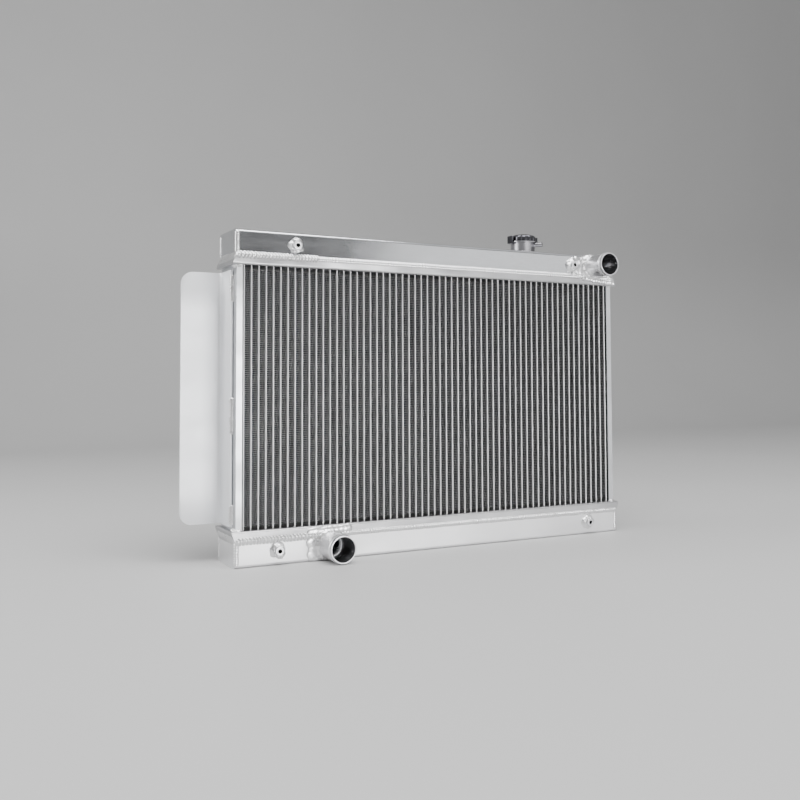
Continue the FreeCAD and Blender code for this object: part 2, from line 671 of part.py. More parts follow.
nipple_turn = FreeCAD.Rotation(FreeCAD.Vector(0, 0, 1), number("nipple_angle")).multiply(
    FreeCAD.Rotation(FreeCAD.Vector(0, 1, 0), 90))
nipple_hole = doc.addObject("Part::Cylinder", "nipple_hole")
nipple_hole.setExpression("Radius", bound("nipple_radius + slot_clearance"))
nipple_hole.setExpression("Height", bound("neck_flange_radius + neck_wall"))
nipple_hole.Placement = FreeCAD.Placement(FreeCAD.Vector(), nipple_turn)
place(nipple_hole, "neck_x", "0", f"{TOTAL} + nipple_height")
cut("filler_neck", neck_body, [nipple_hole])

nipple = new_body("overflow_nipple")
root = "(nipple_radius - nipple_step)"
root_end = f"({bore} + nipple_step)"
turned(nipple, [
    ("nipple_bore", root_end), (root, root_end), (root, "nipple_shoulder"),
    ("nipple_radius", "nipple_shoulder"), ("nipple_radius", "nipple_reach - nipple_chamfer"),
    ("nipple_radius - nipple_chamfer", "nipple_reach"), ("nipple_bore", "nipple_reach")])
nipple.Placement = FreeCAD.Placement(FreeCAD.Vector(), nipple_turn)
place(nipple, "neck_x", "0", f"{TOTAL} + nipple_height")
keep(nipple, "overflow_nipple")

neck_weld = weld_ring("neck_weld", "neck_radius", "neck_weld_leg", "neck_weld_leg")
place(neck_weld, "neck_x", "0", TOTAL)
keep(neck_weld, "neck_weld")


# ---- pressure cap: riveted shell, spring disc and bell, with two valves inside ---------------

def cap_piece(label, corners):
    """A round piece of the cap, turned about the neck's axis, heights above the tank."""
    body = new_body(label)
    turned(body, corners)
    place(body, "neck_x", "0", TOTAL)
    return keep(body, label)


rivet_hole = "(rivet_radius + slot_clearance)"
under_shell = "(cap_top - cap_sheet)"
disc_under = "(cap_top - cap_sheet - disc_sheet)"
bell_under = "(cap_top - cap_sheet - disc_sheet - bell_sheet)"

cap_shell = new_body("cap_shell")
turned(cap_shell, [
    (rivet_hole, under_shell), ("cap_radius - cap_slope - cap_slope_inset", under_shell),
    ("cap_radius - cap_sheet", "cap_top - cap_slope_drop - cap_slope_inset"),
    ("cap_radius - cap_sheet", "cap_skirt_bottom"), ("cap_radius", "cap_skirt_bottom"),
    ("cap_radius", "cap_top - cap_slope_drop"), ("cap_radius - cap_slope", "cap_top"),
    (rivet_hole, "cap_top")])
ears = new_sketch(cap_shell, "XZ_Plane", "-cap_ear_width / 2")
ear_root = "(cap_radius - cap_sheet / 2)"
ear_inner = "(cap_ear_reach - cap_ear_sheet)"
ear_top = "(cap_skirt_bottom + cap_ear_sheet)"
for sign in ("-", ""):
    outline(ears, [
        (sign + ear_root, "cap_skirt_bottom"), (sign + ear_inner, "cap_skirt_bottom"),
        (sign + ear_inner, "cap_hook_top"), (f"{sign}cap_hook_inner", "cap_hook_top"),
        (f"{sign}cap_hook_inner", "cap_hook_bottom"), (f"{sign}cap_ear_reach", "cap_hook_bottom"),
        (f"{sign}cap_ear_reach", ear_top), (sign + ear_root, ear_top)])
pad(cap_shell, ears, "cap_ear_width")
place(cap_shell, "neck_x", "0", TOTAL)
keep(cap_shell, "cap_shell")

cap_piece("cap_rivet", [
    ("0", f"{bell_under} - rivet_head"),
    ("rivet_radius + rivet_lower_spread", f"{bell_under} - rivet_head"),
    ("rivet_radius + rivet_lower_spread", bell_under), ("rivet_radius", bell_under),
    ("rivet_radius", "cap_top"), ("rivet_radius + rivet_upper_spread", "cap_top"),
    ("rivet_radius + rivet_upper_spread / 2", "cap_top + rivet_head"),
    ("0", "cap_top + rivet_head")])
rim = "(cap_skirt_bottom + cap_sheet / 2)"
disc_edge = "(cap_radius - cap_sheet - disc_play)"
disc_slope_end = "(cap_radius - cap_sheet - disc_play - disc_rim)"
cap_piece("cap_spring_disc", [
    (rivet_hole, disc_under), ("disc_flat_radius", disc_under), (disc_slope_end, rim),
    (disc_edge, rim), (disc_edge, f"{rim} + disc_sheet"),
    (disc_slope_end, f"{rim} + disc_sheet"), ("disc_flat_radius", under_shell),
    (rivet_hole, under_shell)])
gasket_hole = f"({bore} + slot_clearance)"
cap_piece("cap_top_gasket", [
    (gasket_hole, "neck_height + valve_gap"), (disc_edge, "neck_height + valve_gap"),
    (disc_edge, rim), (gasket_hole, rim)])
bell_inner = "(bell_radius - bell_sheet)"
cap_piece("cap_bell", [
    (rivet_hole, bell_under), ("bell_flat_radius - bell_slope_inset", bell_under),
    (bell_inner, "bell_shoulder - bell_slope_inset"), (bell_inner, "bell_bottom"),
    ("bell_radius", "bell_bottom"), ("bell_radius", "bell_shoulder"),
    ("bell_flat_radius", disc_under), (rivet_hole, disc_under)])


def coil(label, radius, wire, bottom, height, turns):
    """A compression spring about the neck's axis."""
    spine = doc.addObject("Part::Helix", f"{label}_spine")
    spine.setExpression("Radius", bound(radius))
    spine.setExpression("Height", bound(height))
    spine.setExpression("Pitch", bound(f"({height}) / ({turns})"))
    section = doc.addObject("Part::Circle", f"{label}_section")
    section.setExpression("Radius", bound(f"({wire}) / 2"))
    place(section, x=radius, axis=FreeCAD.Vector(1, 0, 0), angle=90)
    sweep = doc.addObject("Part::Sweep", label)
    sweep.Sections = [section]
    sweep.Spine = (spine, [])
    sweep.Solid = True
    sweep.Frenet = True
    place(sweep, "neck_x", "0", f"{TOTAL} + {bottom}")
    doc.recompute()
    return keep(sweep, label)


coil("cap_spring", "spring_radius", "spring_wire", "spring_bottom", "spring_height",
     "spring_turns")

gasket_bottom = "(seat_height + valve_gap)"
plate_bottom = "(seat_height + valve_gap + valve_gasket_sheet)"
plate_top = "(seat_height + valve_gap + valve_gasket_sheet + valve_plate_sheet)"
stem_hole = "(vacuum_stem_radius + vacuum_stem_play)"
rim_inner = "(valve_rim_radius - valve_rim_sheet)"
rim_top = f"({plate_top} + valve_rim_height)"
cap_piece("cap_pressure_valve", [
    (stem_hole, plate_bottom), ("valve_radius", plate_bottom), ("valve_radius", plate_top),
    ("valve_rim_radius", plate_top), ("valve_rim_radius", rim_top), (rim_inner, rim_top),
    (rim_inner, plate_top), (stem_hole, plate_top)])
cap_piece("cap_valve_gasket", [
    ("valve_gasket_hole", gasket_bottom), ("valve_gasket_radius", gasket_bottom),
    ("valve_gasket_radius", plate_bottom), ("valve_gasket_hole", plate_bottom)])
disc_top = f"({gasket_bottom} - valve_gap)"
disc_bottom = f"({disc_top} - vacuum_disc_sheet)"
head_bottom = f"({plate_top} + vacuum_head_lift)"
head_top = f"({head_bottom} + vacuum_head_sheet)"
cap_piece("cap_vacuum_valve", [
    ("0", disc_bottom), ("vacuum_disc_radius", disc_bottom), ("vacuum_disc_radius", disc_top),
    ("vacuum_stem_radius", disc_top), ("vacuum_stem_radius", head_bottom),
    ("vacuum_head_radius", head_bottom), ("vacuum_head_radius", head_top), ("0", head_top)])
coil("cap_vacuum_spring", "vacuum_spring_radius", "vacuum_spring_wire",
     f"{plate_top} + vacuum_spring_foot", "vacuum_spring_height", "vacuum_spring_turns")


# ---- drain: a threaded bung on the back of the bottom tank, a sealing washer and a plug ------

TO_BACK = FreeCAD.Vector(-1, 0, 0)


def drain_piece(label, corners, start):
    """A round piece of the drain, turned about its axis, its inner end at start."""
    body = new_body(label)
    turned(body, corners)
    place(body, "drain_x", start, "drain_z", TO_BACK, 90)
    return body


bung_face = f"({FRONT} + bung_length)"
keep(drain_piece("drain_bung", [
    ("drain_bore", "0"), ("bung_radius", "0"), ("bung_radius", "bung_length - bung_chamfer"),
    ("bung_radius - bung_chamfer", "bung_length"), ("drain_bore", "bung_length")], FRONT),
    "drain_bung")
drain_weld = weld_ring("drain_bung_weld", "bung_radius", "neck_weld_leg", "neck_weld_leg")
place(drain_weld, "drain_x", FRONT, "drain_z", TO_BACK, 90)
keep(drain_weld, "drain_bung_weld")
keep(drain_piece("drain_washer", [
    ("drain_bore + washer_play", "0"), ("washer_radius", "0"),
    ("washer_radius", "washer_thickness"), ("drain_bore + washer_play", "washer_thickness")],
    bung_face), "drain_washer")

plug_shank = drain_piece("plug_shank_turning", [
    ("0", "-plug_shank"), ("plug_radius - plug_lead", "-plug_shank"),
    ("plug_radius", "-plug_shank + plug_lead"), ("plug_radius", "washer_thickness"),
    ("0", "washer_thickness")], bung_face)
plug_head = doc.addObject("Part::Prism", "plug_head")
plug_head.Polygon = 6
plug_head.setExpression("Circumradius", bound("plug_head_flats / 2 / cos(30)"))
plug_head.setExpression("Height", bound("plug_head_height"))
place(plug_head, "drain_x", f"{bung_face} + washer_thickness", "drain_z", TO_BACK, 90)
drain_plug = doc.addObject("Part::Fuse", "drain_plug")
drain_plug.Base = plug_shank
drain_plug.Tool = plug_head
keep(drain_plug, "drain_plug")


# ---- every object is tested, then each sub-part is written to its own file -------------------

doc.recompute()
for item in doc.Objects:
    if {"Invalid", "Error"} & set(item.State):
        raise RuntimeError(f"{item.Name} is {item.State}")

os.makedirs("parts", exist_ok=True)
for item in SUB_PARTS:
    if item.Shape.isNull() or not item.Shape.isValid():
        raise RuntimeError(f"{item.Label} has no valid shape")
    item.Shape.exportStep(f"parts/{item.Label}.step")
    print(item.Label, len(item.Shape.Solids), round(item.Shape.Volume))
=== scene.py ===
import math

import bmesh
import bpy
from mathutils import Matrix, Vector


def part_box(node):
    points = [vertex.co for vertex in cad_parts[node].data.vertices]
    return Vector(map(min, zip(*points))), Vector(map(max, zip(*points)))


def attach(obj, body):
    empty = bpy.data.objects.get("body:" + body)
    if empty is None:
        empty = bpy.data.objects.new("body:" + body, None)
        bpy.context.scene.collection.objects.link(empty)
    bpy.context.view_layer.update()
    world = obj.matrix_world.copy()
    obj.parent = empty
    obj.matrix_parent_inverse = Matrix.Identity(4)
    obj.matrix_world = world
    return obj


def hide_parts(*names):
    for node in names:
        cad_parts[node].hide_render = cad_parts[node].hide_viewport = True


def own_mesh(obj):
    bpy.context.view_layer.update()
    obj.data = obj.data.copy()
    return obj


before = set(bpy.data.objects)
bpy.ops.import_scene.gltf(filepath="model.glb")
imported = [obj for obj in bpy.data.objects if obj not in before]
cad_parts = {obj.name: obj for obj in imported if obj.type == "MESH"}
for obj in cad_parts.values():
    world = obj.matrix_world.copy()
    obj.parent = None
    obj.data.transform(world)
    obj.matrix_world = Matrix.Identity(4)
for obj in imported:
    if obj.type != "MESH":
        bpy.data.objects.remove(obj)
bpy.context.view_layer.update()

# ---- the studio --------------------------------------------------------------------------------
# A pale floor that curves up into a pale wall, a large soft box overhead, one at the left and two
# in front. The camera stands low on the radiator's left, a little over a metre away.

SCENE = bpy.context.scene.collection
LENS, SENSOR = 41.85, 36
STAND = (-0.679, -1.164, 0.2317)
LENS_SHIFT = -0.0768
YAW, PITCH, ROLL = math.radians(28.21), math.radians(2.72), math.radians(-0.21)

ahead = Vector((math.sin(YAW) * math.cos(PITCH), math.cos(YAW) * math.cos(PITCH), math.sin(PITCH)))
level_right = Vector((math.cos(YAW), -math.sin(YAW), 0))
level_up = level_right.cross(ahead)
right = level_right * math.cos(ROLL) + level_up * math.sin(ROLL)
up = right.cross(ahead)
camera_data = bpy.data.cameras.new("camera")
camera_data.lens = LENS
camera_data.sensor_width = SENSOR
camera_data.shift_y = LENS_SHIFT
camera = bpy.data.objects.new("camera", camera_data)
camera.matrix_world = Matrix((right, up, -ahead)).transposed().to_4x4()
camera.location = STAND
SCENE.objects.link(camera)
bpy.context.scene.camera = camera


class Wire:
    """One output in a node tree, so that maths on it is written as an expression."""

    def __init__(self, tree, socket):
        self.tree = tree
        self.socket = socket

    def maths(self, operation, first, second=None):
        node = self.tree.nodes.new("ShaderNodeMath")
        node.operation = operation
        for socket, value in zip(node.inputs, (first, second)):
            if isinstance(value, Wire):
                self.tree.links.new(value.socket, socket)
            elif value is not None:
                socket.default_value = value
        return Wire(self.tree, node.outputs[0])

    def other(self, name):
        """Another output of the same node."""
        return Wire(self.tree, self.socket.node.outputs[name])

    def __add__(self, other):
        return self.maths("ADD", self, other)

    def __radd__(self, other):
        return self.maths("ADD", other, self)

    def __sub__(self, other):
        return self.maths("SUBTRACT", self, other)

    def __rsub__(self, other):
        return self.maths("SUBTRACT", other, self)

    def __mul__(self, other):
        return self.maths("MULTIPLY", self, other)

    def __truediv__(self, other):
        return self.maths("DIVIDE", self, other)

    def __rtruediv__(self, other):
        return self.maths("DIVIDE", other, self)

    def __abs__(self):
        return self.maths("ABSOLUTE", self)


class Workings:
    """A tree of nodes. One method adds any node: its settings first, then its sockets."""

    def __init__(self, tree):
        self.tree = tree

    def node(self, kind, settings=None, sockets=None, out=0):
        node = self.tree.nodes.new(kind)
        for words, value in (settings or {}).items():
            if words == "stops":
                ramp = node.color_ramp.elements
                for index, (position, grey) in enumerate(value):
                    stop = ramp[index] if index < 2 else ramp.new(position)
                    stop.position = position
                    stop.color = (*grey, 1) if isinstance(grey, tuple) else (grey, grey, grey, 1)
            else:
                setattr(node, words, value)
        for words, value in (sockets or {}).items():
            if isinstance(value, Wire):
                self.tree.links.new(value.socket, node.inputs[words])
            else:
                node.inputs[words].default_value = value
        return Wire(self.tree, node.outputs[out])

    def vector(self, operation, first, second=None, out=0):
        sockets = {0: first} if second is None else {0: first, 1: second}
        return self.node("ShaderNodeVectorMath", {"operation": operation}, sockets, out)

    def scaled(self, direction, amount):
        return self.node("ShaderNodeVectorMath", {"operation": "SCALE"}, {
            0: direction, "Scale": amount})


class Finish(Workings):
    """One material, with its Principled shader and the nodes that feed it."""

    def __init__(self, name, **constants):
        self.material = bpy.data.materials.new(name)
        self.material.use_nodes = True
        super().__init__(self.material.node_tree)
        self.surface = self.tree.nodes["Principled BSDF"]
        for words, value in constants.items():
            self.surface.inputs[words.replace("_", " ").title()].default_value = value

    def place(self, stretch=(1, 1, 1)):
        """The point on the object, in metres, stretched for a grain that runs one way."""
        point = self.node("ShaderNodeTexCoord", out="Object")
        return self.node("ShaderNodeMapping", {}, {"Vector": point, "Scale": stretch})

    def noise(self, scale, detail=3.0, stretch=(1, 1, 1), roughness=0.5):
        return self.node("ShaderNodeTexNoise", {}, {
            "Vector": self.place(stretch), "Scale": scale, "Detail": detail,
            "Roughness": roughness})

    def tint(self, amount, dark, light, low=0.0, high=1.0):
        return self.node("ShaderNodeValToRGB", {"stops": ((low, dark), (high, light))},
                         {"Fac": amount})

    def bump(self, height, strength, distance, under=None):
        sockets = {"Height": height, "Strength": strength, "Distance": distance}
        if under is not None:
            sockets["Normal"] = under
        return self.node("ShaderNodeBump", {}, sockets)

    def feed(self, **wires):
        for words, wire in wires.items():
            name = words.replace("_", " ").title()
            self.tree.links.new(wire.socket, self.surface.inputs[name])
        return self.material


def floor_paint():
    finish = Finish("floor paint", roughness=0.55)
    cloud = finish.noise(1.5)
    return finish.feed(base_color=finish.tint(cloud, (0.50, 0.50, 0.50), (0.54, 0.54, 0.54)))


FLOOR_HALF, SWEEP_START, SWEEP, WALL_TOP = 7.0, 2.2, 1.2, 6.0
profile = [(-FLOOR_HALF, 0.0)]
for step in range(13):
    turn = math.radians(90 * step / 12)
    profile.append((SWEEP_START + SWEEP * math.sin(turn), SWEEP - SWEEP * math.cos(turn)))
profile.append((SWEEP_START + SWEEP, WALL_TOP))
floor_points = [(x, y, z) for y, z in profile for x in (-FLOOR_HALF, FLOOR_HALF)]
floor_faces = [(2 * row, 2 * row + 1, 2 * row + 3, 2 * row + 2) for row in range(len(profile) - 1)]
floor_mesh = bpy.data.meshes.new("floor")
floor_mesh.from_pydata(floor_points, [], floor_faces)
floor_mesh.shade_smooth()
floor_mesh.materials.append(floor_paint())
floor = bpy.data.objects.new("floor", floor_mesh)
SCENE.objects.link(floor)


def soft_light(name, place, target, width, height, power, lean=0):
    """A soft box that faces its target, leant over by some degrees."""
    data = bpy.data.lights.new(name, "AREA")
    data.shape = "RECTANGLE"
    data.size = width
    data.size_y = height
    data.energy = power
    light = bpy.data.objects.new(name, data)
    aim = (Vector(target) - Vector(place)).to_track_quat("-Z", "Y").to_matrix().to_4x4()
    light.matrix_world = (Matrix.Translation(place) @ aim
                          @ Matrix.Rotation(math.radians(lean), 4, "Z"))
    SCENE.objects.link(light)


soft_light("overhead", (-0.2, -1.1, 2.6), (0, -0.2, 0.1), width=2.6, height=1.6, power=100)
soft_light("left side", (-2.4, 0.4, 1.2), (0, 0, 0.2), width=1.2, height=1.6, power=36)
soft_light("right front", (2.55, -3.2, 0.9), (0, 0, 0.35), width=1.9, height=1.1, power=8, lean=16)
soft_light("low front", (0.45, -3.0, 0.17), (-0.2, 0, 0.3), width=1.5, height=0.28, power=50)

# The air is bright overhead and dim round the horizon, which is what polished sheet mirrors.
world = bpy.data.worlds.new("studio air")
world.use_nodes = True
air = Workings(world.node_tree)
direction = air.node("ShaderNodeTexCoord", out="Generated")
height = air.node("ShaderNodeSeparateXYZ", {}, {0: direction}).other("Z")
drift = air.node("ShaderNodeTexNoise", {}, {"Vector": direction, "Scale": 4.5, "Detail": 0.5})
mirrored = air.node("ShaderNodeValToRGB", {"stops": (
    (0.02, 0.22), (0.20, 0.18), (0.36, 0.60), (0.75, 0.85))},
    {"Fac": height + (drift - 0.5) * 1.3})
seen = air.node("ShaderNodeLightPath", out="Is Camera Ray")
sky = air.node("ShaderNodeMix", {"data_type": "RGBA"}, {
    0: seen, 6: mirrored, 7: (0.6, 0.6, 0.6, 1)}, out=2)
backdrop = world.node_tree.nodes["Background"]
world.node_tree.links.new(sky.socket, backdrop.inputs["Color"])
backdrop.inputs["Strength"].default_value = 0.9
bpy.context.scene.world = world


# ---- tanks and end caps ------------------------------------------------------------------------
# Each tank is 3 mm aluminium sheet, folded to a channel and closed by a plate at each end. The
# faces are brushed lengthwise by hand and then part polished, so they mirror in soft patches.

def finish_node(name, material):
    """Gives a CAD node its material."""
    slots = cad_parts[name].data.materials
    slots.clear()
    slots.append(material)


def sheet_metal(name, dark, light, grain, polish, wave):
    """Brushed sheet: grain along one axis, cloudy polish, and a slow wave from the rolling mill."""
    finish = Finish(name, metallic=1.0, anisotropic=0.35)
    brush = finish.noise(60.0, 6.0, grain)
    cloud = finish.noise(9.0, 4.0, (1, 1.6, 2.2))
    rub = finish.noise(28.0, 5.0, (0.6, 2, 2), 0.7)
    tone = brush * 0.35 + cloud * 0.45 + rub * 0.2
    slow = finish.noise(wave, 1.5, (0.8, 1, 1.6))
    normal = finish.bump(slow, 1.0, 0.0034)
    normal = finish.bump(brush, 0.07, 0.0004, normal)
    return finish.feed(
        base_color=finish.tint(tone, dark, light),
        roughness=(cloud * 0.16 + rub * 0.10 + brush * 0.08) + polish, normal=normal)


along_x = (1.2, 30, 30)
along_z = (30, 30, 1.2)
# Painted shade and painted light: one sheet, coloured darker for the top tank, lighter for the
# bottom.
shaded_top_sheet = sheet_metal("top tank sheet", (0.46, 0.47, 0.49), (0.82, 0.83, 0.85), along_x,
                        polish=-0.05, wave=8.0)
lit_bottom_sheet = sheet_metal("bottom tank sheet", (0.82, 0.82, 0.83), (0.97, 0.97, 0.98), along_x,
                           polish=0.17, wave=6.0)
for tank, sheet in (("top", shaded_top_sheet), ("bottom", lit_bottom_sheet)):
    for piece in ("tank", "end_cap_left", "end_cap_right"):
        finish_node(f"{tank}_{piece}", sheet)


# ---- header plates -----------------------------------------------------------------------------
# Pressed trays, slotted for the tubes, their lips turned towards the tanks and their ends left
# pointed past the end caps. Satin, with the burnish of the press tool along the fold.

header_sheet = sheet_metal("header sheet", (0.40, 0.40, 0.41), (0.72, 0.72, 0.73), along_x,
                           polish=0.16, wave=14.0)
for level in ("top", "bottom"):
    finish_node(f"{level}_header_plate", header_sheet)


# ---- tubes -------------------------------------------------------------------------------------
# 120 flat tubes in two rows, drawn thin and brazed to the fins, bright on their round noses
# with a dusting of braze along them.

def tube_metal():
    finish = Finish("tube metal", metallic=1.0)
    braze = finish.noise(220.0, 4.0, (1, 1, 0.12), 0.65)
    speck = finish.noise(900.0, 2.0)
    tone = braze * 0.7 + speck * 0.3
    normal = finish.bump(tone, 0.35, 0.0004)
    return finish.feed(base_color=finish.tint(tone, (0.60, 0.60, 0.60), (0.93, 0.93, 0.93)),
                       roughness=tone * 0.30 + 0.22, normal=normal)


finish_node("core_tubes", tube_metal())


# ---- fins --------------------------------------------------------------------------------------
# One strip of thin sheet in each gap between the tubes, folded back and forth about every
# 2.4 mm and louvred across. Painted shade makes them dark inside, lighter grey at both faces.

FOLD = 0.0024
FIN_SHEET = 0.00024
CREST = 0.0004
fin_low, fin_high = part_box("core_fins")
FACE = fin_high.y
# where the fins' painted shade starts to fade towards a face of the core, and where it has gone
LIT_EDGE_STARTS, LIT_EDGE_FULL = 0.0012, 0.0002


def fin_metal():
    """Painted shade, mottled: dark inside the core, fading to lighter grey at the core's faces."""
    finish = Finish("fin metal", metallic=1.0)
    louvre = finish.node("ShaderNodeTexWave", {"bands_direction": "Y"}, {
        "Vector": finish.place(), "Scale": 260.0, "Distortion": 0.3})
    louvre_height = finish.bump(louvre, 0.8, 0.0005)
    shade_mottle = finish.noise(60.0, 5.0)
    # painted shade: the fins are coloured near black inside the core, where light does not reach
    inside = finish.tint(shade_mottle, (0.045, 0.045, 0.05), (0.11, 0.11, 0.115))
    depth = finish.node("ShaderNodeSeparateXYZ", {}, {
        0: finish.node("ShaderNodeTexCoord", out="Object")}).other("Y")
    # the painted shade fades out just before each face of the core
    edge = finish.node("ShaderNodeMapRange", {}, {
        "Value": abs(depth), "From Min": FACE - LIT_EDGE_STARTS, "From Max": FACE - LIT_EDGE_FULL})
    colour = finish.node("ShaderNodeMix", {"data_type": "RGBA"}, {
        0: edge, 6: inside, 7: (0.42, 0.42, 0.43, 1)}, out=2)
    return finish.feed(base_color=colour, roughness=shade_mottle * 0.25 + 0.35, normal=louvre_height)


def fold_strip(width, bottom, top):
    """A closed zigzag strip with flat crests, centred on x = 0."""
    folds = round((top - bottom) / FOLD)
    rise = (top - bottom) / folds / 2
    across = FIN_SHEET * math.hypot(width, rise) / rise
    shift = across / 2
    line = []
    for step in range(2 * folds + 1):
        side = width / 2 if step % 2 else -width / 2
        height = bottom + step * rise
        line.append((side, max(height - CREST / 2, bottom)))
        line.append((side, min(height + CREST / 2, top)))
    inner = width / 2 - FIN_SHEET
    left = [(max(min(x - shift, inner), -width / 2), z) for x, z in line]
    right_side = [(min(max(x + shift, -inner), width / 2), z) for x, z in reversed(line)]
    return left + right_side


def sewn(work, distance=1e-7):
    """Joins corners that coincide and turns every face outwards."""
    bmesh.ops.remove_doubles(work, verts=work.verts, dist=distance)
    bmesh.ops.recalc_face_normals(work, faces=work.faces)


def extruded(name, outline, front, back):
    """A closed prism of an outline in x and z, from front to back."""
    count = len(outline)
    points = [(x, y, z) for y in (front, back) for x, z in outline]
    faces = [(step, step + count, (step + 1) % count + count, (step + 1) % count)
             for step in range(count)]
    half = count // 2
    for level, order in ((0, 1), (count, -1)):
        for step in range(half - 1):
            corners = (step, step + 1, count - 2 - step, count - 1 - step)
            faces.append(tuple(level + corner for corner in corners[::order]))
    mesh = bpy.data.meshes.new(name)
    mesh.from_pydata(points, [], faces)
    mesh.validate()
    work = bmesh.new()
    work.from_mesh(mesh)
    sewn(work)
    work.to_mesh(mesh)
    work.free()
    return mesh


class Growth(Workings):
    """A Geometry Nodes tree with named inputs. It takes a mesh and gives a coated one."""

    def __init__(self, name, inputs):
        super().__init__(bpy.data.node_groups.new(name, "GeometryNodeTree"))
        sockets = self.tree.interface
        sockets.new_socket("Geometry", in_out="INPUT", socket_type="NodeSocketGeometry")
        for label, kind in inputs.items():
            sockets.new_socket(label, in_out="INPUT", socket_type=f"NodeSocket{kind}")
        sockets.new_socket("Geometry", in_out="OUTPUT", socket_type="NodeSocketGeometry")
        entry = self.tree.nodes.new("NodeGroupInput")
        self.given = {socket.name: Wire(self.tree, socket) for socket in entry.outputs}

    def finish(self, geometry):
        real = self.node("GeometryNodeRealizeInstances", {}, {"Geometry": geometry})
        coated = self.node("GeometryNodeSetMaterial", {}, {
            "Geometry": real, "Material": self.given["Metal"]})
        result = self.tree.nodes.new("NodeGroupOutput")
        self.tree.links.new(coated.socket, result.inputs[0])
        return self.tree


def grown(name, seed_object, tree, values):
    """Runs a tree on an object and keeps the result as a plain mesh object at the origin."""
    modifier = seed_object.modifiers.new("grown", "NODES")
    modifier.node_group = tree
    for item in tree.interface.items_tree:
        if item.in_out == "INPUT" and item.name in values:
            modifier[item.identifier] = values[item.name]
    graph = bpy.context.evaluated_depsgraph_get()
    mesh = bpy.data.meshes.new_from_object(seed_object.evaluated_get(graph))
    bpy.data.objects.remove(seed_object)
    mesh.name = name
    piece = bpy.data.objects.new(name, mesh)
    SCENE.objects.link(piece)
    return piece


def seed_of(name, mesh):
    piece = bpy.data.objects.new(name + " seed", mesh)
    SCENE.objects.link(piece)
    return piece


def column_tree():
    """Sets copies of one strip side by side: Count of them, Pitch apart, from First."""
    growth = Growth("fin columns", {"Count": "Int", "Pitch": "Float", "First": "Float",
                                    "Metal": "Material"})
    given = growth.given
    start = growth.node("ShaderNodeCombineXYZ", {}, {"X": given["First"]})
    stride = growth.node("ShaderNodeCombineXYZ", {}, {"X": given["Pitch"]})
    line = growth.node("GeometryNodeMeshLine", {}, {
        "Count": given["Count"], "Start Location": start, "Offset": stride})
    copies = growth.node("GeometryNodeInstanceOnPoints", {}, {
        "Points": line, "Instance": given["Geometry"]})
    return growth.finish(copies)


tube_low, tube_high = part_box("core_tubes")
COLUMNS, TUBE_WIDTH = 61, 0.002
TUBE_PITCH = (tube_high.x - tube_low.x - TUBE_WIDTH) / (COLUMNS - 2)
fin_width = fin_high.x - fin_low.x - TUBE_PITCH * (COLUMNS - 1)
strip = extruded("fin strip", fold_strip(fin_width, fin_low.z, fin_high.z), fin_low.y, fin_high.y)
columns_tree = column_tree()
fin_material = fin_metal()
for name, first, count in (
        ("fins_left", 0, 20), ("fins_middle", 20, 21), ("fins_right", 41, 20)):
    piece = grown(name, seed_of(name, strip), columns_tree, {
        "Count": count, "Pitch": TUBE_PITCH, "Metal": fin_material,
        "First": fin_low.x + fin_width / 2 + first * TUBE_PITCH})
    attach(piece, "radiator")
    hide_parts("core_fins")


# ---- side plates and bracket -------------------------------------------------------------------
# The side plates are narrow channels of satin sheet. The bracket on the left one is an angle of
# 3 mm sheet, its leg laid on the channel and stitched to it, its free corners rounded.

side_sheet = sheet_metal("side sheet", (0.48, 0.49, 0.51), (0.84, 0.85, 0.87), along_z,
                         polish=0.20, wave=9.0)
for side in ("left", "right"):
    finish_node(f"side_plate_{side}", side_sheet)

bracket_low, bracket_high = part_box("side_bracket")
PLATE = 0.003
STAND_OFF = 0.0007
BEND = 0.0045
CORNER = 0.016
RIM = 0.0006


def bracket_sheet():
    """The angle, swept along its bend, with its free corners cut round and its edges eased."""
    face = bracket_high.x - STAND_OFF
    back = bracket_high.y
    centre_x = face - BEND - PLATE
    centre_y = back - BEND - PLATE
    line = [(face, bracket_low.y)]
    for step in range(9):
        turn = math.radians(90 * step / 8)
        line.append((centre_x + (BEND + PLATE) * math.cos(turn),
                     centre_y + (BEND + PLATE) * math.sin(turn)))
    line.append((bracket_low.x + CORNER + 0.02, back))
    for step in range(1, 13):
        turn = math.radians(90 * step / 12)
        line.append((bracket_low.x + CORNER * (1 - math.sin(turn)), back))
    work = bmesh.new()
    rows = []
    for x, y in line:
        inset = 0.0
        if x < bracket_low.x + CORNER:
            reach = bracket_low.x + CORNER - x
            inset = CORNER - math.sqrt(max(CORNER ** 2 - reach ** 2, 0))
        up = (inset, 0.05, 0.11)
        levels = [bracket_low.z + part for part in up]
        levels.append((bracket_low.z + bracket_high.z) / 2)
        levels += [bracket_high.z - part for part in reversed(up)]
        rows.append([work.verts.new((x, y, z)) for z in levels])
    for one, two in zip(rows, rows[1:]):
        for level in range(6):
            work.faces.new((one[level], one[level + 1], two[level + 1], two[level]))
    bmesh.ops.recalc_face_normals(work, faces=work.faces)
    mesh = bpy.data.meshes.new("bracket")
    work.to_mesh(mesh)
    work.free()
    return mesh


def eased(piece, sheet, edge, outward):
    """Gives an open sheet its thickness, inwards from its outer face, and eases the rim."""
    wall = piece.modifiers.new("wall", "SOLIDIFY")
    wall.thickness = sheet
    wall.offset = -1 if outward else 1
    ease = piece.modifiers.new("ease", "BEVEL")
    ease.width = edge
    ease.segments = 2
    ease.limit_method = "ANGLE"
    ease.angle_limit = math.radians(50)
    graph = bpy.context.evaluated_depsgraph_get()
    mesh = bpy.data.meshes.new_from_object(piece.evaluated_get(graph))
    piece.modifiers.clear()
    piece.data = mesh
    mesh.shade_smooth()
    mesh.set_sharp_from_angle(angle=math.radians(40))


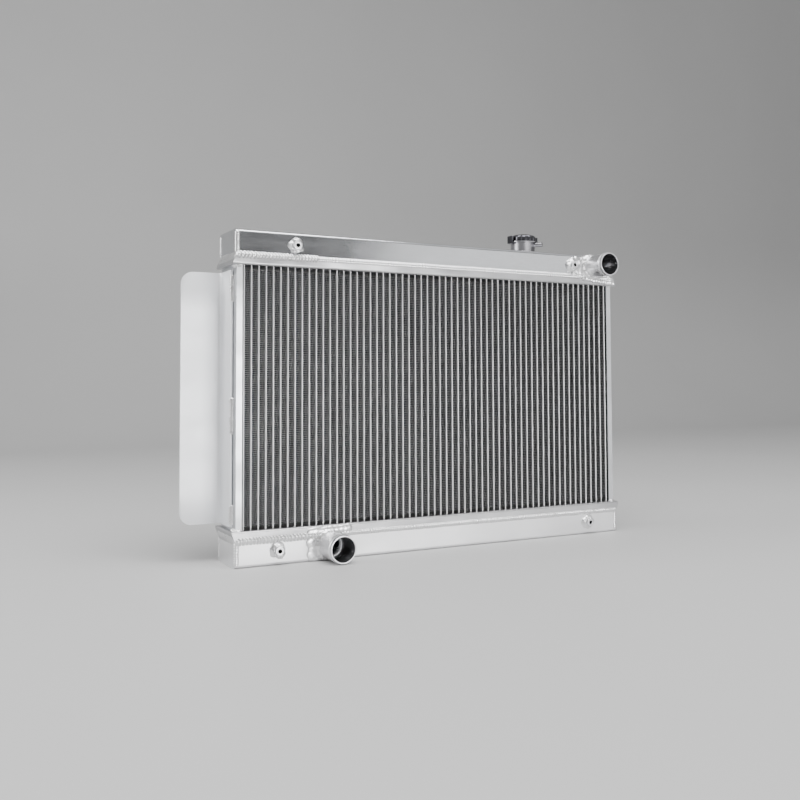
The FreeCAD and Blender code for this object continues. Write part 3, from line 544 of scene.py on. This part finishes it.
# Painted light: the bracket's sheet is coloured near white, lighter than the tanks', so its wing
# reads bright.
lit_bracket_metal = sheet_metal("bracket sheet", (0.86, 0.87, 0.89), (0.96, 0.97, 0.99), along_z,
                            polish=0.36, wave=5.0)
bracket = seed_of("bracket_plate", bracket_sheet())
bracket.name = "bracket_plate"
outward_normal = bracket.data.polygons[0].normal
eased(bracket, PLATE, RIM, outward_normal.x > 0)
bracket.data.materials.append(lit_bracket_metal)
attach(bracket, "radiator")
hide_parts("side_bracket")


# ---- welds -------------------------------------------------------------------------------------
# Every joint is TIG welded by hand: overlapping puddles of bright filler, laid one by one, and
# here and there dressed flat. Each run is a path with the direction in which it stands proud.

def weld_metal():
    finish = Finish("weld metal", metallic=1.0)
    skin = finish.noise(700.0, 5.0)
    patch = finish.noise(90.0, 3.0)
    tone = skin * 0.4 + patch * 0.6
    normal = finish.bump(skin, 0.4, 0.0003)
    return finish.feed(base_color=finish.tint(tone, (0.70, 0.70, 0.71), (0.97, 0.97, 0.97)),
                       roughness=tone * 0.26 + 0.17, normal=normal)


ACROSS = 13
TOE_MERGE = 0.00001


def bead_tree():
    """Lays a bead along a path. Across, it runs from one toe over the crown to the other; along,
    it swells with each puddle, whose crescents trail at the toes, and with slow uneven lumps."""
    growth = Growth("weld bead", {
        "Rows": "Int", "Pitch": "Float", "Width": "Float", "Proud": "Float", "Spread": "Float",
        "Ripple": "Float", "Lumps": "Float", "Lump Size": "Float", "Taper": "Float",
        "Seed": "Float", "Metal": "Material"})
    given = growth.given
    path = growth.node("GeometryNodeMeshToCurve", {}, {"Mesh": given["Geometry"]})
    length = growth.node("GeometryNodeCurveLength", {}, {"Curve": path})
    grid = growth.node("GeometryNodeMeshGrid", {}, {
        "Size X": 1.0, "Size Y": 2.0, "Vertices X": given["Rows"], "Vertices Y": ACROSS})
    spot = growth.node("ShaderNodeSeparateXYZ", {}, {
        0: growth.node("GeometryNodeInputPosition")})
    along = spot + 0.5
    across = spot.other("Y") * ((ACROSS - 1) / (ACROSS - 3))
    face = growth.node("GeometryNodeInputNamedAttribute", {"data_type": "FLOAT_VECTOR"},
                       {"Name": "face"})
    stand = growth.node("GeometryNodeSampleCurve", {
        "mode": "FACTOR", "data_type": "FLOAT_VECTOR"}, {
        "Curves": path, "Value": face, "Factor": along})
    point = stand.other("Position")
    side = growth.vector("NORMALIZE", growth.vector(
        "CROSS_PRODUCT", stand.other("Tangent"), stand))
    half = given["Width"] * 0.5
    lane = growth.scaled(side, half * across)
    place = growth.vector("ADD", point, lane)
    lump = growth.node("ShaderNodeTexNoise", {"noise_dimensions": "4D"}, {
        "Vector": place, "W": given["Seed"], "Scale": 1.0 / given["Lump Size"], "Detail": 1.5})
    hurry = growth.node("ShaderNodeTexNoise", {"noise_dimensions": "4D"}, {
        "Vector": point, "W": given["Seed"], "Scale": 0.3 / given["Pitch"], "Detail": 0.0})
    distance = along * length
    phase = distance / given["Pitch"] + across * across * 0.6 + hurry * 1.5
    puddle = abs(phase.maths("SINE", phase * math.pi))
    swell = 1.0 + given["Ripple"] * (puddle - 0.6) + given["Lumps"] * (lump - 0.5) * 2.5
    core = across.maths("LESS_THAN", abs(across), 1.001)
    nearest = distance.maths("MINIMUM", distance, length - distance)
    end = distance.maths("MINIMUM", nearest / (given["Width"] * 0.6), 1.0)
    closing = end.maths("SQRT", end * (2.0 - end))
    out = swell * core * (1.0 - given["Taper"] * (1.0 - closing))
    arc = across.maths("MAXIMUM", across.maths("MINIMUM", across, 1.0), -1.0) * given["Spread"]
    rise = growth.scaled(stand, arc.maths("COSINE", arc) * given["Proud"] * out)
    reach = growth.scaled(side, arc.maths("SINE", arc) * half * out)
    shaped = growth.node("GeometryNodeSetPosition", {}, {
        "Geometry": grid,
        "Position": growth.vector("ADD", point, growth.vector("ADD", rise, reach))})
    joined = growth.node("GeometryNodeMergeByDistance", {}, {
        "Geometry": shaped, "Distance": TOE_MERGE})
    return growth.finish(growth.node("GeometryNodeSetShadeSmooth", {}, {"Geometry": joined}))


beads = bead_tree()
filler = weld_metal()


def weld(name, runs, width, proud, pitch=0.0042, ripple=0.35, lumps=0.15, lump_size=0.006,
         spread=90, seed=1, stands_for=(), lowest=None, highest=None):
    """Welds along runs of (points, faces, closed) and joins the result to the radiator."""
    whole = bmesh.new()
    for turn, (points, faces, closed) in enumerate(runs):
        count = len(points)
        edges = [(step, (step + 1) % count) for step in range(count if closed else count - 1)]
        length = sum((points[one] - points[two]).length for one, two in edges)
        mesh = bpy.data.meshes.new(name)
        mesh.from_pydata(points, edges, [])
        mark = mesh.attributes.new("face", "FLOAT_VECTOR", "POINT")
        mark.data.foreach_set("vector", [part for face in faces for part in face])
        piece = grown(name, seed_of(name, mesh), beads, {
            "Rows": max(10, round(length / pitch * 7)),
            "Pitch": length / max(1, round(length / pitch)), "Width": width, "Proud": proud,
            "Spread": math.radians(spread), "Ripple": ripple, "Lumps": lumps,
            "Lump Size": lump_size, "Taper": 0.0 if closed else 1.0,
            "Seed": float(seed + turn), "Metal": filler})
        whole.from_mesh(piece.data)
        bpy.data.objects.remove(piece)
    for vertex in whole.verts:
        if lowest is not None:
            vertex.co.z = max(vertex.co.z, lowest)
        if highest is not None:
            vertex.co.z = min(vertex.co.z, highest)
    sewn(whole, 1e-6)
    mesh = bpy.data.meshes.new(name)
    whole.to_mesh(mesh)
    whole.free()
    mesh.materials.append(filler)
    piece = bpy.data.objects.new(name, mesh)
    SCENE.objects.link(piece)
    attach(piece, "radiator")
    if stands_for:
        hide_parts(*stands_for)


def straight(start, end, face):
    return [Vector(start), Vector(end)], [Vector(face).normalized()] * 2, False


def ring(centre, radius, axis, splay=45, start=0, end=360, steps=60):
    """A round run about an axis, sunk a little, its face splayed outwards by some degrees."""
    axis = Vector(axis)
    across = Vector((0, 1, 0)) if axis.z else Vector((0, 0, 1))
    closed = end - start == 360
    points, faces = [], []
    for step in range(steps + (not closed)):
        turn = math.radians(start + (end - start) * step / steps)
        out = Vector((1, 0, 0)) * math.cos(turn) + across * math.sin(turn)
        points.append(Vector(centre) + out * (radius - SUNK) - axis * SUNK)
        faces.append(out * math.sin(math.radians(splay)) + axis * math.cos(math.radians(splay)))
    return points, faces, closed


SUNK = 0.0004        # how far a path runs inside the metal, so that the bead has no gap under it
PROUD = 0.0004       # how far a seam's path runs off the tank face
BELOW = 0.0008       # how far a seam's path runs from the seam, away from the core
FRONT = (0, -1, 0)
BACK = (0, 1, 0)
tank_low, tank_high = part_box("bottom_tank")
top_low, top_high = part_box("top_tank")
tip_low, tip_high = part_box("bottom_header_plate")
end_x = -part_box("bottom_end_cap_left")[0].x
tank_y = tank_high.y
lip_y = tip_high.y
STRONG = 0.115       # length of the strong seam at the left end
OVERRUN = 0.0005     # how far it starts past the end cap
OVERLAP = 0.006      # how far the long seam starts before its end
ROUNDED = 0.0027     # how far a corner's path runs inside both faces

for level, seam, core, closed_z in (("bottom", tank_high.z, 1, tank_low.z),
                                    ("top", top_low.z, -1, top_high.z)):
    bead_z = seam - core * BELOW
    fade_x = -end_x + STRONG
    weld(f"{level}_seam_strong", [
        straight((-end_x - OVERRUN, -tank_y - PROUD, bead_z), (fade_x, -tank_y - PROUD, bead_z),
                 (0, -1, -core * 0.35))],
        width=0.0084, proud=0.0030, pitch=0.0046, ripple=0.75, lumps=0.10, seed=3,
        stands_for=(f"{level}_seam_weld",))
    weld(f"{level}_seam_long", [
        straight((fade_x - OVERLAP, -tank_y - PROUD, bead_z), (end_x, -tank_y - PROUD, bead_z),
                 (0, -1, -core * 0.35)),
        straight((end_x, tank_y + PROUD, bead_z), (-end_x, tank_y + PROUD, bead_z),
                 (0, 1, -core * 0.35))],
        width=0.0072, proud=0.0023, pitch=0.0036, ripple=0.22, lumps=0.18, lump_size=0.010,
        seed=5, stands_for=(f"{level}_seam_weld",))
    weld(f"{level}_cap_fillets", [
        straight((side * (end_x - SUNK), -tank_y - 0.001, seam + core * 0.001),
                 (side * (end_x - SUNK), tank_y + 0.001, seam + core * 0.001),
                 (side, 0, -core * 0.25))
        for side in (-1, 1)],
        width=0.0150, proud=0.0026, pitch=0.006, ripple=0.10, lumps=0.22, lump_size=0.012,
        seed=8)
    weld(f"{level}_corner_welds", [
        straight((side * (end_x - ROUNDED), front * (tank_y - ROUNDED),
                  closed_z + core * 0.0012),
                 (side * (end_x - ROUNDED), front * (tank_y - ROUNDED), seam), (side, front, 0))
        for side in (-1, 1) for front in (-1, 1)],
        width=ROUNDED * 2.75, proud=ROUNDED * 1.42, pitch=0.0034,
        ripple=0.12 if level == "bottom" else 0.02, lumps=0.05, seed=11)

foot_runs = []
for side in (-1, 1):
    for face_z, core in ((tip_high.z, 1), (top_low.z - (tip_high.z - tip_low.z), -1)):
        foot_runs.append(straight((side * (end_x - 0.0030), -0.0315, face_z),
                                  (side * (end_x - 0.0012), -0.0170, face_z),
                                  (side * 0.6, -0.25, core * 0.7)))
        foot_runs.append(straight((side * 0.2985, -0.0305, face_z),
                                  (side * 0.3060, -0.0312, face_z), (0, -0.7, core * 0.7)))
weld("side_plate_feet", foot_runs, width=0.0066, proud=0.0026, pitch=0.004, ripple=0.25,
     lumps=0.4, lump_size=0.006, seed=15)

stitch_x = bracket_high.x - PLATE * 0.55
stitch_runs = []
STITCHES = ((0.052, 0.026), (0.166, 0.048), (0.335, 0.036))       # each one's start and length
for start, run in STITCHES:
    stitch_runs.append(straight((stitch_x, bracket_low.y + SUNK, start),
                                (stitch_x, bracket_low.y + SUNK, start + run),
                                (-0.5, -0.86, 0)))
weld("bracket_stitches", stitch_runs, width=0.0064, proud=0.0017, ripple=0.14, lumps=0.30,
     seed=17, stands_for=("bracket_stitch_welds",))


# ---- hose spigots ------------------------------------------------------------------------------
# Rolled tube, faced at the mouth and with one rolled ridge that holds the hose. Each is coped to
# the tank face and welded round in a heavy collar. The bore wall is coloured dark grey: painted
# shade.

def softened(profile, ease):
    """The closed profile with each corner turned by a small arc."""
    steps = 3
    result = []
    count = len(profile)
    for step, corner in enumerate(profile):
        here = Vector(corner)
        before = Vector(profile[step - 1]) - here
        after = Vector(profile[(step + 1) % count]) - here
        reach = min(ease, before.length * 0.45, after.length * 0.45)
        one = here + before.normalized() * reach
        two = here + after.normalized() * reach
        for part in range(steps + 1):
            share = part / steps
            low = one.lerp(here, share)
            result.append(low.lerp(here.lerp(two, share), share))
    return result


def spun(name, profile, centre, axis, ease, steps):
    """Turns a closed profile of (radius, height) about an axis through centre."""
    points = softened(profile, ease)
    turn_to = Vector((0, 0, 1)).rotation_difference(Vector(axis)).to_matrix().to_4x4()
    place = Matrix.Translation(centre) @ turn_to
    vertices, faces = [], []
    count = len(points)
    for step in range(steps):
        turn = 2 * math.pi * step / steps
        for radius, height in points:
            spot = Vector((radius * math.cos(turn), radius * math.sin(turn), height))
            vertices.append(place @ spot)
        for row in range(count):
            one = step * count + row
            two = step * count + (row + 1) % count
            last = (step + 1) % steps * count
            faces.append((one, two, last + (row + 1) % count, last + row))
    mesh = bpy.data.meshes.new(name)
    mesh.from_pydata(vertices, [], faces)
    work = bmesh.new()
    work.from_mesh(mesh)
    sewn(work)
    work.to_mesh(mesh)
    work.free()
    mesh.shade_smooth()
    mesh.set_sharp_from_angle(angle=math.radians(35))
    piece = bpy.data.objects.new(name, mesh)
    SCENE.objects.link(piece)
    return piece


def ringed_metal(name, dark, light, rough, bore=None, axis="Y"):
    """Turned metal: fine rings about its axis and, where a centre and radius say, painted shade on
    the bore wall.
    """
    finish = Finish(name, metallic=1.0)
    lay = finish.noise(160.0, 3.0, (0.3, 6, 0.3) if axis == "Y" else (0.3, 0.3, 6))
    patch = finish.noise(70.0, 4.0)
    tone = lay * 0.4 + patch * 0.6
    colour = finish.tint(tone, dark, light)
    if bore is not None:
        centre, bore_radius = bore
        # painted shade: the wall of the bore is coloured dark grey
        point = finish.node("ShaderNodeTexCoord", out="Object")
        flat = finish.vector("MULTIPLY", finish.vector("SUBTRACT", point, centre), (1, 0, 1))
        radius = finish.vector("LENGTH", flat, out="Value")
        inside = finish.node("ShaderNodeMapRange", {}, {
            "Value": abs(radius - bore_radius), "From Min": 0.0003, "From Max": 0.0007})
        colour = finish.node("ShaderNodeMix", {"data_type": "RGBA"}, {
            0: inside, 6: (0.30, 0.30, 0.31, 1), 7: colour}, out=2)
    normal = finish.bump(lay, 0.25, 0.0003)
    return finish.feed(base_color=colour, roughness=tone * 0.2 + rough, normal=normal)


COLLAR = 0.0062
RIDGE, RIDGE_LENGTH, RIDGE_BACK = 0.001, 0.005, 0.0065       # the last is from the mouth
WALL = 0.002
LEDGE, LEDGE_DEPTH = 0.0022, 0.0025        # the tank's hole is narrower than the tube
for level in ("lower", "upper"):
    low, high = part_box(f"{level}_hose_spigot")
    ridge = (high.x - low.x) / 2
    radius = ridge - RIDGE
    bore = radius - WALL
    port = bore - LEDGE
    length = high.y - low.y
    centre = Vector(((low.x + high.x) / 2, high.y, low.z + ridge))
    crest = length - RIDGE_BACK
    swell = [(radius + RIDGE * math.sin(math.pi * part / 6) ** 2,
              crest + RIDGE_LENGTH / 2 * (part - 3) / 3) for part in range(7)]
    inside = [(bore, length), (bore, LEDGE_DEPTH), (port, LEDGE_DEPTH)]
    piece = spun(f"{level}_spigot", [(port, 0), (radius, 0)] + swell + [(radius, length)] + inside,
                 centre, FRONT, ease=0.0005, steps=96)
    piece.data.materials.append(ringed_metal(
        f"{level} spigot metal", (0.70, 0.70, 0.72), (0.95, 0.95, 0.96), 0.20,
        bore=(tuple(centre), bore)))
    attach(piece, "radiator")
    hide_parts(f"{level}_hose_spigot")
    weld(f"{level}_spigot_collar", [ring(centre, radius, FRONT)],
         width=COLLAR * 2.3, proud=COLLAR * 0.85, pitch=0.0056, ripple=0.08, lumps=0.26,
         lump_size=0.010, spread=52, seed=21, stands_for=(f"{level}_spigot_weld",),
         lowest=tank_low.z + 0.0008, highest=top_high.z + 0.0004)

# Filler was heaped beside each spigot to close the gap over the turned lip of the header.
low_x, low_z = -0.1775, 0.0192
weld("lower_spigot_heap", [
    ring((low_x, -tank_y, low_z), 0.0262, FRONT, splay=0, start=118, end=238, steps=30)],
    width=0.0165, proud=0.0019, pitch=0.012, ripple=0.04, lumps=0.50, lump_size=0.009, seed=61,
    lowest=tank_low.z + 0.0010)
weld("lower_spigot_lip_heap", [
    straight((-0.212, -lip_y + SUNK, 0.0385), (-0.146, -lip_y + SUNK, 0.0400), (0, -1, 0.1))],
    width=0.0110, proud=0.0024, pitch=0.007, ripple=0.10, lumps=0.40, lump_size=0.010, seed=63)
up_z = 0.4107
weld("upper_spigot_heap", [
    straight((0.219, -tank_y + SUNK, up_z + 0.001), (0.262, -tank_y + SUNK, up_z), (0, -1, 0))],
    width=0.0300, proud=0.0036, pitch=0.007, ripple=0.08, lumps=0.34, lump_size=0.010, seed=65,
    highest=top_high.z - 0.0010)
weld("upper_spigot_lip_heap", [
    straight((0.226, -tank_y - PROUD, 0.4010), (0.252, -lip_y + SUNK, 0.3930), (0, -1, 0.2)),
    straight((0.244, -lip_y + SUNK, 0.3935), (0.3105, -lip_y + 2 * SUNK, 0.3870), (0, -1, 0.2)),
    straight((0.288, -tank_y - PROUD, 0.4000), (0.308, -tank_y - PROUD, 0.3950), (0, -1, 0.1))],
    width=0.0085, proud=0.0030, pitch=0.0046, ripple=0.25, lumps=0.60, lump_size=0.0065,
    seed=67)


# ---- shroud bosses -----------------------------------------------------------------------------
# Two short aluminium stubs on each tank, bored and threaded for the fan shroud's screws. They
# are set on the tank face and buried in thick lumpy weld.

boss_metal = ringed_metal("boss metal", (0.62, 0.62, 0.64), (0.90, 0.90, 0.91), 0.25)
# painted shade: the threaded hole is coloured near black
shaded_thread_metal = ringed_metal("threaded bore", (0.02, 0.02, 0.02), (0.07, 0.07, 0.07), 0.4)
THREAD, THREAD_FLOOR = 0.0025, 0.001
for level in ("upper", "lower"):
    low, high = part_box(f"{level}_shroud_bosses")
    radius = (high.z - low.z) / 2
    length = high.y - low.y
    heaps = []
    stubs = []
    for x in (low.x + radius, high.x - radius):
        centre = Vector((x, high.y, (low.z + high.z) / 2))
        stub = spun("stub", [(0, 0), (radius, 0), (radius, length), (THREAD, length),
                             (THREAD, THREAD_FLOOR), (0, THREAD_FLOOR)], centre, FRONT,
                    ease=0.0006, steps=40)
        stubs.append(stub)
        heaps.append(ring(centre, radius, FRONT, steps=40))
    stubs[0].name = f"{level}_bosses"
    work = bmesh.new()
    for stub in stubs:
        work.from_mesh(stub.data)
    # faces inside the threaded hole take the near-black painted shade
    inner = THREAD + 0.0002
    for face in work.faces:
        middle = face.calc_center_median()
        across = min(abs(middle.x - low.x - radius), abs(middle.x - high.x + radius))
        face.material_index = int(math.hypot(across, middle.z - centre.z) < inner)
    work.to_mesh(stubs[0].data)
    work.free()
    bpy.data.objects.remove(stubs[1])
    stubs[0].data.shade_smooth()
    stubs[0].data.set_sharp_from_angle(angle=math.radians(35))
    stubs[0].data.materials.append(boss_metal)
    stubs[0].data.materials.append(shaded_thread_metal)
    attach(stubs[0], "radiator")
    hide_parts(f"{level}_shroud_bosses")
    weld(f"{level}_boss_heaps", heaps, width=0.0125, proud=0.0046, pitch=0.0062, ripple=0.18,
         lumps=0.72, lump_size=0.0052, spread=56, seed=31, stands_for=(f"{level}_boss_welds",))


# ---- filler neck and overflow nipple -----------------------------------------------------------
# Spun neck, welded to the top tank, with the flange that the cap hooks under and, at its side,
# the small plain nipple for the overflow hose. Dulled by handling.

neck_metal = ringed_metal("neck metal", (0.16, 0.155, 0.17), (0.58, 0.58, 0.60), 0.22, axis="Z")
for node in ("filler_neck", "overflow_nipple"):
    finish_node(node, neck_metal)
neck_low, neck_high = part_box("filler_neck")
neck_centre = Vector(((neck_low.x + neck_high.x) / 2, 0, neck_low.z))
NECK_RADIUS = 0.0185
weld("neck_collar", [ring(neck_centre, NECK_RADIUS, (0, 0, 1))],
     width=0.0074, proud=0.0028, pitch=0.0036, ripple=0.18, lumps=0.2, spread=54, seed=41,
     stands_for=("neck_weld",))


# ---- pressure cap ------------------------------------------------------------------------------
# A plated steel shell with two ears, riveted through the middle to its spring disc and bell.
# The valves and springs inside are plain brass, steel and black rubber.

def plated(name, dark, light, rough):
    finish = Finish(name, metallic=1.0)
    smear = finish.noise(180.0, 4.0)
    handled = finish.noise(55.0, 3.0)
    tone = smear * 0.4 + handled * 0.6
    normal = finish.bump(smear, 0.12, 0.0003)
    return finish.feed(base_color=finish.tint(tone, dark, light),
                       roughness=tone * 0.2 + rough, normal=normal)


def rubber():
    finish = Finish("black rubber")
    grain = finish.noise(1200.0, 3.0)
    normal = finish.bump(grain, 0.3, 0.0002)
    return finish.feed(base_color=finish.tint(grain, (0.015, 0.015, 0.015), (0.05, 0.05, 0.05)),
                       roughness=grain * 0.2 + 0.6, normal=normal)


# painted reflection: the plating is coloured near black, standing in for the dark surroundings it
# mirrors
chrome_painted_dark = plated("cap plating", (0.025, 0.025, 0.03), (0.20, 0.20, 0.22), 0.12)
steel = plated("plain steel", (0.40, 0.40, 0.42), (0.66, 0.66, 0.68), 0.26)
brass = plated("plain brass", (0.62, 0.45, 0.18), (0.86, 0.68, 0.34), 0.24)
black_rubber = rubber()
for node, material in (
        ("cap_rivet", chrome_painted_dark), ("cap_spring_disc", steel), ("cap_bell", brass),
        ("cap_pressure_valve", brass), ("cap_vacuum_valve", brass),
        ("cap_top_gasket", black_rubber), ("cap_valve_gasket", black_rubber)):
    finish_node(node, material)


def coil_tree():
    """A wire wound as a helix about the cap's axis, its ends capped."""
    growth = Growth("coil", {"Turns": "Float", "Radius": "Float", "Height": "Float",
                             "Wire": "Float", "Foot": "Vector", "Metal": "Material"})
    given = growth.given
    spiral = growth.node("GeometryNodeCurveSpiral", {}, {
        "Resolution": 40, "Rotations": given["Turns"], "Start Radius": given["Radius"],
        "End Radius": given["Radius"], "Height": given["Height"]})
    section = growth.node("GeometryNodeCurvePrimitiveCircle", {}, {
        "Resolution": 10, "Radius": given["Wire"] * 0.5})
    wire = growth.node("GeometryNodeCurveToMesh", {}, {
        "Curve": spiral, "Profile Curve": section, "Fill Caps": True})
    placed = growth.node("GeometryNodeTransform", {}, {
        "Geometry": wire, "Translation": given["Foot"]})
    return growth.finish(placed)


# Each spring is wound between its seats and carried whole by the body it is attached to.
coils = coil_tree()
for name, body, joint, travel, wire, turns, fixed_top in (
        ("cap_spring", "cap", "pressure_valve_lift", 0.0025, 0.0014, 5, True),
        ("cap_vacuum_spring", "pressure_valve", "vacuum_valve_drop", 0.0015, 0.0004, 4, False)):
    low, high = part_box(name)
    centre = (low + high) / 2
    piece = grown(f"{name}_coil", seed_of(name, bpy.data.meshes.new(name)), coils, {
        "Turns": float(turns), "Radius": (high.x - low.x - wire) / 2, "Wire": wire,
        "Height": high.z - low.z - wire, "Foot": (centre.x, centre.y, low.z + wire / 2),
        "Metal": steel})
    piece.data.shade_smooth()
    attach(piece, body)
    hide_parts(name)
    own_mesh(piece)


FLUTES, FLUTE_DEPTH = 12, 0.0013
shell_low, shell_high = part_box("cap_shell")
ear_reach = (shell_high.x - shell_low.x) / 2
SHELL = shell_high.y
HOOK_TO_SKIRT = 0.0037
shell_x = (shell_low.x + shell_high.x) / 2


def fluted_shell():
    """The pressed shell: a domed top with a raised ring, and a fluted skirt with a wall."""
    crown = shell_high.z
    skirt = shell_low.z + HOOK_TO_SKIRT
    # Each row is a radius, a height and the share of the flutes' depth that it has.
    rows = [(0.0040, crown - 0.0004, 0), (0.0100, crown - 0.0002, 0), (0.0115, crown, 0),
            (0.0130, crown, 0), (0.0142, crown - 0.0008, 0), (0.0168, crown - 0.0010, 0),
            (0.0190, crown - 0.0020, 0.3), (0.0201, crown - 0.0036, 0.8),
            (SHELL, crown - 0.0055, 1), (SHELL, skirt, 1), (SHELL - 0.0009, skirt, 1),
            (SHELL - 0.0010, crown - 0.0056, 1), (0.0160, crown - 0.0022, 0),
            (0.0040, crown - 0.0012, 0)]
    steps = FLUTES * 8
    work = bmesh.new()
    rings = []
    for radius, z, flute in rows:
        row = []
        for step in range(steps):
            turn = 2 * math.pi * step / steps
            dip = FLUTE_DEPTH * flute * abs(math.sin(FLUTES * turn / 2)) ** 3
            row.append(work.verts.new((shell_x + (radius - dip) * math.cos(turn),
                                       (radius - dip) * math.sin(turn), z)))
        rings.append(row)
    for one, two in zip(rings, rings[1:] + rings[:1]):
        for step in range(steps):
            following = (step + 1) % steps
            work.faces.new((one[step], one[following], two[following], two[step]))
    bmesh.ops.recalc_face_normals(work, faces=work.faces)
    return work


def add_block(work, low, high):
    """A block with eased edges, for a lug of the cap."""
    made = bmesh.ops.create_cube(work, size=1.0)["verts"]
    for vertex in made:
        vertex.co = Vector((low[axis] + (high[axis] - low[axis]) * (vertex.co[axis] + 0.5)
                            for axis in range(3)))
    edges = list({edge for vertex in made for edge in vertex.link_edges})
    bmesh.ops.bevel(work, geom=edges, offset=0.0004, segments=2, affect="EDGES")


# An ear is a lug, a web that roots it in the skirt, and the hook at its foot.
LUG_THICK = 0.0014
LUG_HALF, WEB_HALF, HOOK_HALF = 0.006, 0.0050, 0.0055
shell_work = fluted_shell()
for side in (-1, 1):
    outer, inner = shell_x + side * ear_reach, shell_x + side * (ear_reach - LUG_THICK)
    sunk = (outer + inner) / 2
    root = shell_x + side * (SHELL - 0.0012)
    hook = shell_x + side * (SHELL - 0.0003)
    skirt = shell_low.z + HOOK_TO_SKIRT
    add_block(shell_work, (min(outer, inner), -LUG_HALF, shell_low.z),
              (max(outer, inner), LUG_HALF, shell_high.z - 0.0022))
    add_block(shell_work, (min(sunk, root), -WEB_HALF, skirt + 0.0002),
              (max(sunk, root), WEB_HALF, shell_high.z - 0.0030))
    add_block(shell_work, (min(sunk, hook), -HOOK_HALF, shell_low.z + 0.0001),
              (max(sunk, hook), HOOK_HALF, shell_low.z + 0.0012))
shell_mesh = bpy.data.meshes.new("cap_cover")
shell_work.to_mesh(shell_mesh)
shell_work.free()
shell_mesh.shade_smooth()
shell_mesh.set_sharp_from_angle(angle=math.radians(42))
shell_mesh.materials.append(chrome_painted_dark)
cover = bpy.data.objects.new("cap_cover", shell_mesh)
SCENE.objects.link(cover)
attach(cover, "cap")
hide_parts("cap_shell")


# ---- drain -------------------------------------------------------------------------------------
# An aluminium bung, threaded and welded to the back of the bottom tank. A brass plug screws
# into it and squeezes a rubber-faced washer, and comes out to drain the coolant.

finish_node("drain_bung", boss_metal)
finish_node("drain_washer", black_rubber)
finish_node("drain_plug", brass)
bung_low, bung_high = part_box("drain_bung")
bung_centre = Vector(((bung_low.x + bung_high.x) / 2, bung_low.y, (bung_low.z + bung_high.z) / 2))
bung_radius = (bung_high.x - bung_low.x) / 2
weld("bung_collar", [ring(bung_centre, bung_radius, BACK, steps=48)],
     width=0.0072, proud=0.0027, pitch=0.0034, ripple=0.35, lumps=0.2, spread=54, seed=51,
     stands_for=("drain_bung_weld",))
